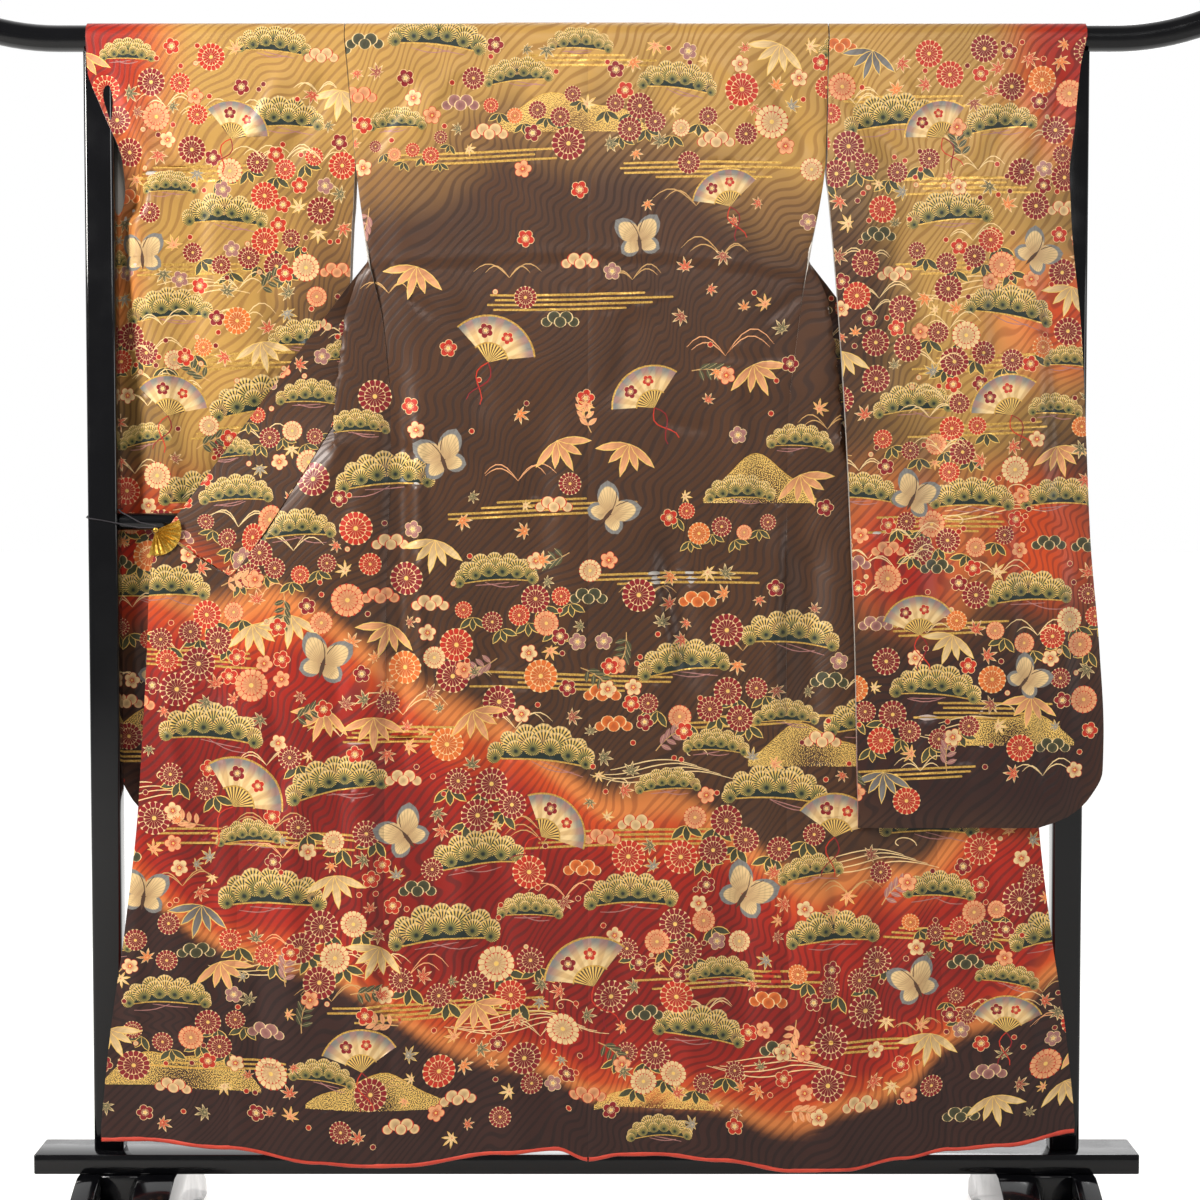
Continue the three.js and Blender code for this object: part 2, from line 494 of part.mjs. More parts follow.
const foldShare = (z) => smoothStep((FOLD_START - z) / FOLD_RAMP);
function seamFoldShare(z, t, distance) {
  if (z >= SEAM_FOLD.top || t >= SEAM_FOLD.share) return 0;
  return Math.exp(-((distance / SEAM_FOLD.reach) ** 2)) * smoothStep((SEAM_FOLD.top - z) / SEAM_FOLD.fade);
}

function frontPanel(side) {
  const columns = PANEL_COLUMNS.front;
  const lines = Array.from({ length: columns }, (_, j) => {
    const t = j / (columns - 1);
    const line = rodArc(frontPoint(side, ROD.height, t).x, 1);
    for (const level of PANEL_LEVELS) {
      const x = frontPoint(side, level, t).x;
      const z = drawnHeight(x, level);
      const point = frontPoint(side, z, t);
      point.x = x;
      const share = Math.max(foldShare(z), seamFoldShare(z, t, x - bodyEdgeX(side, z)));
      point.y += foldDepth(BODY_FOLDS, x, z) * share;
      line.push(point);
    }
    return line;
  });
  return clothWall(transpose(lines));
}

const freeEdge = (z) => rowAt(FREE_EDGE, z);

// A point part way along a strip that starts on the rod's arc and hangs to a free end.
function alongDrape(side, row, t) {
  const radius = DRAPE.radius + COLLAR_LIFT;
  const start = THREE.MathUtils.degToRad(row.angle);
  const arcLength = radius * (Math.PI / 2 - start);
  const hang = Math.hypot(row.freeY - radius, ROD.height - row.freeZ);
  const travel = t * (arcLength + hang);
  const x = outward(side, lerp(row.seamX, row.freeX, t));
  if (travel < arcLength) {
    const angle = start + travel / radius;
    return new THREE.Vector3(x, radius * Math.sin(angle), ROD.height + radius * Math.cos(angle));
  }
  const share = (travel - arcLength) / hang;
  return new THREE.Vector3(x, lerp(radius, row.freeY, share), lerp(ROD.height, row.freeZ, share));
}

function collarBand(side) {
  const columns = PANEL_COLUMNS.collar;
  const shares = Array.from({ length: columns }, (_, j) => j / (columns - 1));
  const grid = NECK_ROWS.map((row) => shares.map((t) => alongDrape(side, row, t)));
  PANEL_LEVELS.filter((z) => z >= COLLAR_END.seamZ).forEach((z, i) => {
    const row = rowAt(FRONT_ROWS, z);
    const { seamZ, freeZ: endZ, slantZ } = COLLAR_END;
    const freeZ = z > slantZ ? z : lerp(slantZ, endZ, (slantZ - z) / (slantZ - seamZ));
    const edge = freeEdge(freeZ);
    const turn = NECK_TURN[i];
    const free = turn ? new THREE.Vector3(outward(side, turn.freeX), turn.freeY, turn.freeZ)
      : new THREE.Vector3(outward(side, edge.x), edge.y, freeZ);
    const seam = new THREE.Vector3(outward(side, row.joinX), row.joinY, z);
    const arriving = seam.clone().sub(new THREE.Vector3(outward(side, row.tuckX), row.tuckY, z)).normalize();
    const leaving = free.clone().sub(seam).normalize();
    const bend = arriving.cross(leaving).length();
    seam.addScaledVector(leaving, CLOTH.seamGap / 2 + CLOTH.wall * COLLAR_BEND_SHARE * bend);
    grid.push(shares.map((t) => seam.clone().lerp(free, t)));
  });
  return clothWall(grid);
}

// The overlap's second level lies part way from its slanted top to a level row.
const OVERLAP_SECOND = { towards: 860, share: 0.4 };

function overlapPanel(side) {
  const columns = PANEL_COLUMNS.overlap;
  const steps = PANEL_LEVELS.filter((z) => z < COLLAR_END.seamZ);
  const lines = Array.from({ length: columns }, (_, j) => {
    const t = j / (columns - 1);
    const top = lerp(COLLAR_END.seamZ, COLLAR_END.freeZ, t) - CLOTH.seamGap;
    const levels = [top, lerp(top, OVERLAP_SECOND.towards, OVERLAP_SECOND.share), ...steps];
    return levels.map((level) => {
      const seamSide = rowAt(FRONT_ROWS, Math.min(level, COLLAR_END.seamZ));
      const edge = freeEdge(level);
      const x = outward(side, lerp(seamSide.joinX + CLOTH.seamGap / 2, edge.x, t));
      const z = drawnHeight(x, level);
      const low = rowAt(FRONT_ROWS, Math.min(z, COLLAR_END.seamZ));
      const y = lerp(low.joinY, freeEdge(z).y, t) + foldDepth(BODY_FOLDS, x, z) * foldShare(z);
      return new THREE.Vector3(x, y, z);
    });
  });
  return clothWall(transpose(lines));
}

// The lining rolled out under the hem, one run on each side of the centre seam.
function hemRoll(side) {
  const points = Array.from({ length: HEM_ROLL.stations }, (_, i) => {
    const t = i / (HEM_ROLL.stations - 1);
    const x = outward(side, lerp(HEM_ROLL.endGap, freeEdge(HEM_ROLL.bottomZ).x - HEM_ROLL.endGap, t));
    const z = hemHeight(x) + HEM_ROLL.radius;
    const bodyDepth = rowAt(BACK_DEPTH, z).centre;
    const y = lerp(bodyDepth, rowAt(FRONT_ROWS, z).joinY, Math.min(t * HEM_ROLL.depthGain, 1));
    return new THREE.Vector3(x, y, z);
  });
  return roundBar(points, HEM_ROLL.radius, HEM_ROLL.sides);
}

for (const side of SIDES) {
  add(`back_${side.name}`, backPanel(side), MATERIALS.back);
  add(`front_${side.name}`, frontPanel(side), MATERIALS.front);
  add(`collar_${side.name}`, collarBand(side), MATERIALS.collar);
  add(`overlap_${side.name}`, overlapPanel(side), MATERIALS.front);
  add(`hem_roll_${side.name}`, hemRoll(side), MATERIALS.hem);
}

// ---------- sleeves ----------
// One skin of a sleeve bag, moved out from the cloth's middle by offset.
function sleeveSkin(sleeve, offset, reach) {
  const { rows, direction, cuffEnd, curlStart, curlEnd } = sleeve;
  const bottom = rows[rows.length - 1].z;
  const levels = [];
  for (let i = 0; i < rows.length - 1; i += 1) {
    const steps = Math.max(1, Math.round((rows[i].z - rows[i + 1].z) / SLEEVE_SKIN.rowStep));
    for (let k = 0; k < steps; k += 1) levels.push(lerp(rows[i].z, rows[i + 1].z, k / steps));
  }
  levels.push(bottom);
  const layer = (share, level, isFront) => {
    const row = rowAt(rows, level);
    const outer = isFront ? row.frontX : row.rearX;
    const middle = isFront ? row.frontY : row.rearY;
    const edge = isFront ? row.frontEdge : row.rearEdge;
    const openCuff = level > cuffEnd;
    const y = lerp(middle, edge, smoothStep((share - curlStart) / (curlEnd - curlStart)));
    const z = level === bottom ? bottom - offset : level;
    let x = lerp(row.inner, outer, share);
    if (share === 0) x -= reach.inner;
    if (share === 1) x += openCuff ? reach.open : reach.sewn;
    return new THREE.Vector3(direction * x, y + (isFront ? -offset : offset), z);
  };
  const arcRadius = DRAPE.radius + offset;
  return SLEEVE_COLUMNS.map((share) => {
    const ring = [];
    for (let i = levels.length - 1; i > 0; i -= 1) ring.push(layer(share, levels[i], true));
    const shoulder = layer(share, levels[0], true);
    const { arcPoints } = SLEEVE_SKIN;
    for (let k = 0; k < arcPoints; k += 1) {
      const angle = Math.PI * (k / (arcPoints - 1));
      ring.push(new THREE.Vector3(shoulder.x, -arcRadius * Math.cos(angle),
        ROD.height + arcRadius * Math.sin(angle)));
    }
    for (let i = 1; i < levels.length; i += 1) ring.push(layer(share, levels[i], false));
    return ring;
  });
}

function sleeveBag(sleeve) {
  const half = CLOTH.wall / 2;
  const outer = sleeveSkin(sleeve, half, { inner: 0, sewn: 0, open: 0 });
  const inner = sleeveSkin(sleeve, -half, { ...SLEEVE_SKIN.cut, sewn: -CLOTH.wall });
  const ends = ladderFaces(outer[0].length);
  return toGeometry(toManifold(loft(outer, ends)).subtract(toManifold(loft(inner, ends))));
}

for (const sleeve of [LEFT_SLEEVE, RIGHT_SLEEVE]) {
  add(`sleeve_${sleeve.side}`, sleeveBag(sleeve), MATERIALS.sleeve);
}

// ---------- rack ----------
function rodPath() {
  const bend = (x) => ROD.height + ROD.bendRise * Math.max(Math.abs(x) - ROD.bendStart, 0) ** 2;
  const xs = [...ROD.bentStations.map((x) => -x).reverse(), ...ROD.bentStations];
  return xs.map((x) => new THREE.Vector3(x, 0, bend(x)));
}

function roundedBlock(width, depth, height, radius) {
  const shape = new THREE.Shape();
  const x = width / 2;
  const y = depth / 2;
  shape.moveTo(-x + radius, -y);
  shape.lineTo(x - radius, -y);
  shape.absarc(x - radius, -y + radius, radius, -Math.PI / 2, 0);
  shape.lineTo(x, y - radius);
  shape.absarc(x - radius, y - radius, radius, 0, Math.PI / 2);
  shape.lineTo(-x + radius, y);
  shape.absarc(-x + radius, y - radius, radius, Math.PI / 2, Math.PI);
  shape.lineTo(-x, -y + radius);
  shape.absarc(-x + radius, -y + radius, radius, Math.PI, Math.PI * 1.5);
  return positionOnly(new THREE.ExtrudeGeometry(shape, { depth: height, bevelEnabled: false, curveSegments: 4 }));
}

function post(direction) {
  const block = roundedBlock(POST.width, POST.depth, POST.top - BOARD.top, POST.round);
  block.translate(direction * POST.centreX, 0, BOARD.top);
  const saddle = roundBar([new THREE.Vector3(SADDLE.from * direction, 0, ROD.height),
    new THREE.Vector3(SADDLE.to * direction, 0, ROD.height)], ROD.radius + SADDLE.clearance, SADDLE.sides);
  return toGeometry(toManifold(closedSolid(Array.from(block.attributes.position.array),
    Array.from(block.index.array))).subtract(toManifold(saddle)));
}

// An arched runner under the board: two toes on the floor, one on each side of it.
function footPlate(from, to) {
  const { toe, toePad, toeEase, toeEaseHeight, toeLean, toeHeight, neck, archReach, archHeight } = FOOT;
  const top = BOARD.bottom;
  const [toePullX, toePullZ] = FOOT.toePull;
  const [neckPullX, neckPullZ] = FOOT.neckPull;
  const shape = new THREE.Shape();
  shape.moveTo(toe - toePad, 0);
  shape.lineTo(toe - toeEase, 0);
  shape.quadraticCurveTo(toe, 0, toe, toeEaseHeight);
  shape.lineTo(toe - toeLean, toeHeight);
  shape.bezierCurveTo(toe - toePullX, toeHeight + toePullZ, neck + neckPullX, top - neckPullZ, neck, top);
  shape.lineTo(-neck, top);
  shape.bezierCurveTo(-neck - neckPullX, top - neckPullZ, -toe + toePullX, toeHeight + toePullZ, -toe + toeLean, toeHeight);
  shape.lineTo(-toe, toeEaseHeight);
  shape.quadraticCurveTo(-toe, 0, -toe + toeEase, 0);
  shape.lineTo(-toe + toePad, 0);
  shape.bezierCurveTo(-archReach, archHeight, archReach, archHeight, toe - toePad, 0);
  const plate = positionOnly(new THREE.ExtrudeGeometry(shape,
    { depth: Math.abs(to - from), bevelEnabled: false, curveSegments: 8 }));
  plate.rotateX(Math.PI / 2);
  plate.rotateZ(Math.PI / 2);
  plate.translate(Math.min(from, to), 0, 0);
  return plate;
}

add('top_bar', roundBar(rodPath(), ROD.radius, ROD.sides), MATERIALS.lacquer);
const board = roundedBlock(BOARD.length, BOARD.depth, BOARD.top - BOARD.bottom, BOARD.round);
board.translate(0, 0, BOARD.bottom);
add('base_board', board, MATERIALS.lacquer);
const barEnd = POST.centreX - POST.width / 2 - CONTACT_GAP;
add('mid_bar', roundBar([new THREE.Vector3(-barEnd, 0, MID_BAR.height),
  new THREE.Vector3(barEnd, 0, MID_BAR.height)], MID_BAR.radius, MID_BAR.sides), MATERIALS.lacquer);
for (const side of SIDES) {
  add(`post_${side.name}`, post(side.direction), MATERIALS.lacquer);
  for (const plate of FOOT.plates) {
    add(`foot_${side.name}_${plate.name}`,
      footPlate(side.direction * plate.from, side.direction * plate.to), MATERIALS.lacquer);
  }
  const [outerPlate, innerPlate] = FOOT.plates;
  const blockWidth = outerPlate.from - innerPlate.from - 2 * CONTACT_GAP;
  const { inset, height, round } = FOOT.block;
  const block = roundedBlock(blockWidth, 2 * (FOOT.neck - inset), height, round);
  block.translate(side.direction * (outerPlate.from + innerPlate.from) / 2, 0, BOARD.bottom - height - CONTACT_GAP);
  add(`foot_${side.name}_block`, block, MATERIALS.lacquer);
}

// ---------- fan clips that hold the front edges out ----------
function fanClip(side) {
  const ring = [];
  const count = FAN.pleats * 2;
  for (let i = 0; i <= count; i += 1) {
    const angle = THREE.MathUtils.degToRad(lerp(FAN.firstAngle, FAN.lastAngle, i / count));
    ring.push([Math.cos(angle), Math.sin(angle), (i % 2 ? 1 : -1) * FAN.pleatDepth / 2]);
  }
  const grid = [FAN.inner, FAN.radius * 0.5, FAN.radius].map((radius, k) => ring.map(([c, s, lift]) =>
    new THREE.Vector3(outward(side, FAN.pivotX - radius * c), FAN.pivotY + lift * (k / 2), FAN.pivotZ + radius * s)));
  return clothWall(grid);
}

function clipThread(side) {
  const x = POST.centreX;
  const reachX = POST.width / 2 + THREAD.clearance;
  const reachY = POST.depth / 2 + THREAD.clearance;
  const path = [
    [FAN.pivotX - 3, FAN.pivotY + 1.6, FAN.pivotZ + 3],
    [FAN.pivotX + 22, FAN.pivotY + 8, FAN.pivotZ + 3],
    [x - reachX + 3, -reachY, THREAD.loopFront],
    [x, -reachY - 0.3, lerp(THREAD.loopFront, THREAD.loopBack, 0.2)],
    [x + reachX - 3, -reachY, lerp(THREAD.loopFront, THREAD.loopBack, 0.35)],
    [x + reachX, -reachY + 3, lerp(THREAD.loopFront, THREAD.loopBack, 0.42)],
    [x + reachX, reachY - 3, lerp(THREAD.loopFront, THREAD.loopBack, 0.7)],
    [x + reachX - 3, reachY, lerp(THREAD.loopFront, THREAD.loopBack, 0.76)],
    [x - reachX + 3, reachY, THREAD.loopBack],
    [x - reachX, reachY - 3, THREAD.loopBack],
    [x - reachX, -reachY + 6, THREAD.loopBack],
    [x - reachX - 4, -reachY - 2, THREAD.loopBack - 3],
    [FAN.pivotX + 20, FAN.pivotY + 6, FAN.pivotZ + 10],
    [FAN.pivotX - 3, FAN.pivotY + 1.6, FAN.pivotZ + 6],
  ];
  const points = path.map(([px, py, pz]) => new THREE.Vector3(side.direction * px, py, pz));
  return roundBar(points, THREAD.radius, THREAD.sides);
}

for (const side of SIDES) {
  add(`fan_clip_${side.name}`, fanClip(side), MATERIALS.gilt);
  add(`clip_thread_${side.name}`, clipThread(side), MATERIALS.thread);
}

export default group;
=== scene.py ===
"""A furisode kimono spread open on a lacquered rack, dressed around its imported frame."""
import math
import random

import bpy
import numpy as np
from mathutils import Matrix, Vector
from mathutils.geometry import delaunay_2d_cdt


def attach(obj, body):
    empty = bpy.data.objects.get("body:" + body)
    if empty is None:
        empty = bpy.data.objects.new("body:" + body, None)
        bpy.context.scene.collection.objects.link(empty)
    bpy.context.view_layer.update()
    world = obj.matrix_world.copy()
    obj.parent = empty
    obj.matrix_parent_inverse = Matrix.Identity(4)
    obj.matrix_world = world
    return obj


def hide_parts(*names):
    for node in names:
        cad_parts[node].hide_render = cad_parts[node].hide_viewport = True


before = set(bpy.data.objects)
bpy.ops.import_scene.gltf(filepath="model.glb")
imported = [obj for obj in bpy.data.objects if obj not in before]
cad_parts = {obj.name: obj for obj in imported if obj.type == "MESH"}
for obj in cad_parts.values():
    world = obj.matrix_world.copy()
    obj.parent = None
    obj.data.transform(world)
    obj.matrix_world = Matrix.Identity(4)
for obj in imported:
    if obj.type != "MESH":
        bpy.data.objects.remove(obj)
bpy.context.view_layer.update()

# Lengths are millimetres until a mesh is made, +X to the viewer's right, -Y towards the viewer.
MM = 0.001


# ---------- helpers ----------
def lerp(a, b, t):
    return a + (b - a) * t


def smooth(t):
    s = np.clip(t, 0.0, 1.0)
    return s * s * (3 - 2 * s)


def linear(red, green, blue):
    """An sRGB colour as the linear one that shaders use."""
    return tuple(c / 12.92 if c <= 0.04045 else ((c + 0.055) / 1.055) ** 2.4 for c in (red, green, blue))


class Table:
    """Named columns over height, joined by a curve that never overshoots its rows."""

    def __init__(self, names, rows):
        data = np.array(rows, float)[::-1]
        self.names = names.split()
        self.height = data[:, 0]
        self.values = data[:, 1:]
        steps = np.diff(self.values, axis=0) / np.diff(self.height)[:, None]
        above, below = steps[1:], steps[:-1]
        agree = above * below > 0
        total = np.where(agree, above + below, 1.0)
        inner = np.where(agree, 2 * above * below / total, 0.0)
        self.slopes = np.vstack([steps[:1], inner, steps[-1:]])

    def at(self, height):
        level = np.clip(height, self.height[0], self.height[-1])
        i = np.clip(np.searchsorted(self.height, level, side="right") - 1, 0, len(self.height) - 2)
        span = self.height[i + 1] - self.height[i]
        t = ((level - self.height[i]) / span)[..., None]
        start = self.slopes[i] * span[..., None]
        end = self.slopes[i + 1] * span[..., None]
        rise = self.values[i + 1] - self.values[i]
        bend = start + end - 2 * rise
        value = self.values[i] + t * (start + t * (3 * rise - 2 * start - end + t * bend))
        return dict(zip(self.names, np.moveaxis(value, -1, 0)))


# ---------- the garment's own sizes, as its solids have them ----------
CENTRE_X = 2.0
SEAM_GAP = 0.12
WALL = 1.8
HALF_WALL = WALL / 2
ROD = {"radius": 17.5, "height": 1619.0, "half": 880.0, "station": 15.0, "bend_start": 700.0,
       "bend_rise": 0.00148}
DRAPE_RADIUS = 19.0
DRAPE_TOP_GAP = 0.7
COLLAR_RADIUS = 20.4
HEM_LEVEL = 130.0
HEM_BLEND_TOP = 420.0
HEM_ROLL = {"radius": 2.0, "gap": 1.3, "rise": 1.9, "stations": 120, "sides": 12}
FOLD_START = 1000.0
FAN = {"x": 574.0, "y": -31.2, "z": 968.0, "radius": 34.0, "pleats": 9, "first": 24.0, "last": -106.0}
SIDES = {"left": -1, "right": 1}

BODY_EDGE = Table("left right", [
    (1619, -319.0, 319.5), (1540, -312.5, 318.0), (1453, -305.0, 316.0), (1400, -299.0, 309.0),
    (1327, -287.0, 293.0), (1232, -268.0, 280.0), (1107, -260.0, 267.0), (875, -267.0, 265.5),
    (608, -269.0, 266.0), (437, -272.0, 269.0), (145, -281.0, 277.0)])
BACK_DEPTH = Table("centre edge", [
    (1619, -19.0, -19.0), (1540, -21.5, -20.0), (1453, -24.0, -22.0), (1327, -27.0, -26.0),
    (1107, -31.5, -31.0), (905, -35.0, -34.0), (674, -42.0, -42.0), (437, -48.5, -48.0),
    (145, -54.5, -54.0)])
FRONT = Table("edge_gap edge_y crease_x crease_y tuck_x tuck_y join_x join_y", [
    (1619, 0.2, 19, 285, 19, 225, 19, 130, 19), (1540, 0.2, 19, 275, 24, 225, 18, 185, 22),
    (1490, 0.2, 14, 262, 24, 206, 15, 172, 26), (1453, 0.2, 6, 250, 20, 190, 10, 166, 28),
    (1400, 0.6, -6, 245, 10, 158, 8, 190, 30), (1327, 1.5, -26, 289, -16, 155, 6, 228, 26),
    (1290, 0.7, -27, 312, -23, 175, 2, 245, 14), (1232, 0.2, -28.5, 326, -30, 212, -7, 275, -1),
    (1190, 0.2, -29.5, 331, -31, 245, -13, 297, -7), (1140, 0.2, -30.5, 337, -32, 280, -18, 320, -12),
    (1107, 0.2, -31, 338, -32, 309, -22, 340, -17), (1075, 0.2, -31.5, 335, -33, 341, -28, 358, -23),
    (1000, 0.2, -33, 315, -34, 362, -34, 406, -31), (965, 0.2, -33.5, 322, -36, 375, -35, 427, -32),
    (905, 0.2, -34, 335, -38, 405, -37, 473, -34), (836, 0.2, -37, 332, -40, 397, -40, 461, -38),
    (674, 0.2, -42, 333, -45, 397, -45, 462, -43), (437, 0.2, -48, 338, -50, 404, -50, 469, -48),
    (145, 0.2, -54, 348, -55, 414, -55, 481, -54)])
FREE_EDGE = Table("x y", [
    (1540, 134, 34), (1490, 171, 56), (1453, 199, 62), (1400, 239, 52), (1327, 293, 8), (1290, 320, -12),
    (1232, 364, -14), (1107, 457, -18), (1000, 537, -23), (965, 563, -25), (933, 577, -27), (899, 583, -29),
    (808, 586, -35), (674, 594, -40), (571, 601, -43), (437, 617, -47), (283, 638, -50), (145, 651, -53)])
# The collar behind the neck: seam x, angle from the rod's top, then the free edge's place.
NECK_ROWS = [
    (0.2, 2.1, 0.2, 20, 1583), (60, 2.1, 50, 20, 1583), (108, 2.1, 84, 20.5, 1580),
    (129, 2.1, 98, 21, 1575), (129, 24, 102, 21.5, 1572), (129, 46, 107, 22.5, 1568),
    (129, 68, 113, 24, 1564), (129, 90, 118, 26, 1559)]
NECK_TURN = [(124, 29, 1553), (129, 32, 1547)]
COLLAR_LEVELS = [1598, 1570, 1540, 1505, 1475, 1440, 1405, 1375, 1350, 1325, 1305, 1280, 1245,
                 1205, 1165, 1125, 1090, 1050, 1000, 953, 905]
COLLAR_END = {"seam": 905.0, "free": 965.0}
HEM_HEIGHT = np.array([
    (-655, 151), (-596, 151), (-480, 141), (-362, 120), (-300, 115), (-245, 116), (-113, 134), (-40, 139),
    (2, 124), (45, 131), (91, 132), (177, 124), (272, 109), (347, 111), (422, 126), (483, 138), (558, 144),
    (655, 162)], float)
SLEEVE_COLUMNS = "inner front_x front_y front_edge rear_x rear_y rear_edge"
SLEEVES = {
    "left": {"cuff_end": 1396, "curl_start": 0.88, "curl_end": 0.955, "rows": Table(SLEEVE_COLUMNS, [
        (1619, 320, 661, -19, -19, 661, 19, 19), (1576, 316, 659, -19.6, -19.3, 658, 20, 20),
        (1530, 312, 643, -20, -19.3, 655, 22, 22), (1499, 309.5, 630, -20, -19.3, 652, 23, 23),
        (1478, 308, 621, -19.5, -15, 650, 24, 24), (1453, 306, 616, -19, -5, 648, 25, 25),
        (1425, 307.5, 615, -17.5, 8, 644, 26, 25.5), (1396, 309, 620, -15, 18.5, 640, 27, 24.5),
        (1375, 311, 636, -13, 20.5, 637, 27.5, 23.5), (1287, 315, 637, -5, 20.5, 637, 29, 23.5),
        (1200, 317, 637, 2, 21, 637, 31, 24), (1100, 318, 637, 9, 21.5, 637, 33, 24.5),
        (990, 319, 636, 15, 22, 636, 35, 25), (860, 320, 636, 18, 23, 636, 36, 26),
        (720, 321, 636, 20, 24, 636, 36, 27), (640, 322, 634, 21, 24.5, 634, 35, 27.5),
        (606, 322, 620, 22, 25, 620, 33, 28), (584, 322, 600, 23.5, 25, 600, 31, 28),
        (571, 322, 565, 24.5, 25.5, 565, 28.5, 28.5)])},
    "right": {"cuff_end": 1372, "curl_start": 0.8, "curl_end": 1.0, "rows": Table(SLEEVE_COLUMNS, [
        (1619, 321, 661, -19, -19, 661, 19, 19), (1584, 320, 653, -20.5, -19.5, 655, 19.5, 19.5),
        (1557, 319, 650, -22, -20.5, 634, 19.5, 19), (1541, 319, 648.5, -23, -21, 622.5, 18.5, 18.5),
        (1525, 319, 647, -24, -21.5, 620, 15, 16), (1500, 318, 645, -26, -22.5, 618, 8, 9),
        (1472, 318, 641, -29, -23.5, 616, -3, -2), (1441, 316.5, 638, -32, -25, 616, -13, -11),
        (1412, 319, 639, -35, -26, 617, -20, -18.5), (1390, 321, 640, -37, -26.5, 622, -23, -21.5),
        (1372, 322.5, 641, -38.5, -27, 640, -25, -23.5), (1345, 325, 643, -40, -28, 643, -27, -25),
        (1232, 334, 654, -46, -35, 654, -33.5, -32), (1107, 342, 660, -52, -41, 660, -39, -38),
        (962, 349, 666, -57.5, -47, 666, -44.5, -44), (810, 355, 679, -61, -52, 679, -48, -49),
        (700, 357.5, 685, -63, -56, 685, -51, -53), (649, 358.5, 684, -63.5, -57.5, 684, -52.5, -54.5),
        (615, 359.5, 668, -63, -58, 668, -53.5, -55), (590, 360, 641, -61.5, -58, 641, -54.5, -55),
        (574, 360, 600, -59.5, -58.5, 600, -55.5, -55.5)])},
}
SLEEVE_BOTTOM = {"left": 571.0, "right": 574.0}

# Creases: from x, z to x, z, half width, depth away from the viewer (a ridge is negative), sideways bow.
BODY_CREASES = [
    (-246, 1240, -243, 560, 16, 5, 3), (-284, 900, -292, 240, 22, -4, 4), (100, 990, 160, 740, 22, 5, 6),
    (300, 1060, 296, 620, 26, 6, 0), (-540, 930, -460, 700, 18, 5, 8), (540, 930, 470, 650, 20, 5, -8),
    (-118, 900, -104, 260, 24, 4, 6), (210, 640, 214, 220, 24, 4, 5), (-380, 700, -392, 240, 22, -4, 6),
    (390, 640, 384, 200, 22, 4, -6), (-222, 1180, -216, 700, 9, -3.2, 2), (84, 960, 136, 720, 9, -3.0, 5),
    (122, 820, 128, 600, 13, 2.2, 4), (-40, 1200, -60, 860, 26, 2.0, 10), (60, 1280, 20, 1120, 18, 1.6, -8),
    (-170, 1290, -120, 1100, 15, 1.7, 6), (206, 1190, 236, 930, 16, 2.4, -6),
    (262, 1000, 250, 700, 10, -2.4, 3), (-150, 620, -172, 330, 14, -2.2, 5),
    (40, 560, 24, 250, 20, 2.6, -8), (120, 480, 150, 200, 12, -1.8, 5), (-60, 420, -44, 160, 16, 2.2, 3),
    (-330, 860, -318, 520, 12, 3.0, 5), (-440, 820, -402, 560, 13, 2.6, -6),
    (-500, 690, -486, 300, 18, 3.2, 8), (-560, 820, -530, 560, 10, -2.2, 4),
    (-590, 620, -600, 240, 15, -2.4, 5), (-430, 420, -440, 170, 13, 2.4, 3),
    (330, 560, 322, 220, 12, 2.6, -4), (440, 640, 452, 300, 15, -2.2, 5), (520, 700, 540, 360, 17, 2.8, -7),
    (580, 560, 604, 210, 13, -2.2, 5), (-260, 480, -262, 180, 10, 2.2, 2),
    (262, 500, 268, 180, 11, 2.0, -3), (-210, 1580, -290, 1440, 13, 1.9, 8),
    (-150, 1600, -236, 1470, 10, -1.4, 6), (222, 1590, 300, 1440, 13, 1.9, -8),
    (160, 1600, 246, 1480, 10, -1.3, -6), (-60, 1600, -90, 1500, 14, 1.2, 3),
    (70, 1604, 100, 1490, 15, 1.3, -3)]
WRINKLES = [
    (150, 1204, 260, 1193, 5, 1.5, 4), (160, 1190, 282, 1184, 4, -1.1, -3),
    (-262, 1086, -196, 1062, 5, 1.1, 3), (90, 1120, 170, 1102, 6, 1.0, 4),
    (-250, 1300, -196, 1250, 6, 1.4, 4), (288, 1290, 230, 1246, 6, 1.5, -4)]
SLEEVE_CREASES = {
    "left": [
        (-640, 1600, -560, 1380, 13, 2.8, 12), (-600, 1606, -500, 1400, 15, 2.2, 14),
        (-340, 1600, -420, 1430, 15, 2.4, -12), (-390, 1608, -470, 1460, 12, -1.8, -9),
        (-500, 1500, -520, 1180, 20, 3.0, 8), (-430, 1380, -420, 1060, 18, 2.6, -9),
        (-590, 1350, -604, 900, 12, 3.6, 4), (-560, 1260, -548, 960, 16, -2.6, 6),
        (-380, 1280, -372, 1120, 14, 2.0, 5), (-470, 1140, -480, 860, 18, 2.4, 7),
        (-610, 880, -606, 640, 14, -2.2, 4)],
    "right": [
        (634, 1602, 560, 1400, 14, 2.8, -12), (590, 1606, 500, 1420, 15, 2.2, -14),
        (342, 1600, 430, 1440, 15, 2.6, 12), (396, 1608, 480, 1480, 12, -1.8, 9),
        (420, 1400, 400, 1120, 17, 2.8, 9), (520, 1440, 540, 1120, 20, 3.2, -9),
        (600, 1340, 622, 980, 14, 3.2, -5), (470, 1180, 480, 820, 20, 3.4, 9),
        (560, 1060, 580, 720, 18, 2.8, -8), (390, 1060, 384, 760, 13, -2.4, 5),
        (430, 860, 436, 620, 16, 2.8, 4), (520, 820, 516, 600, 13, -2.2, -4),
        (630, 960, 644, 680, 12, -2.2, 4), (600, 780, 610, 600, 12, 2.2, -3)],
}
CREASE_FADE = 0.28
CREASE_RELIEF = 2.0
STEEP_SIDE, SOFT_SIDE = 0.72, 1.25  # a crease falls off more steeply on one side
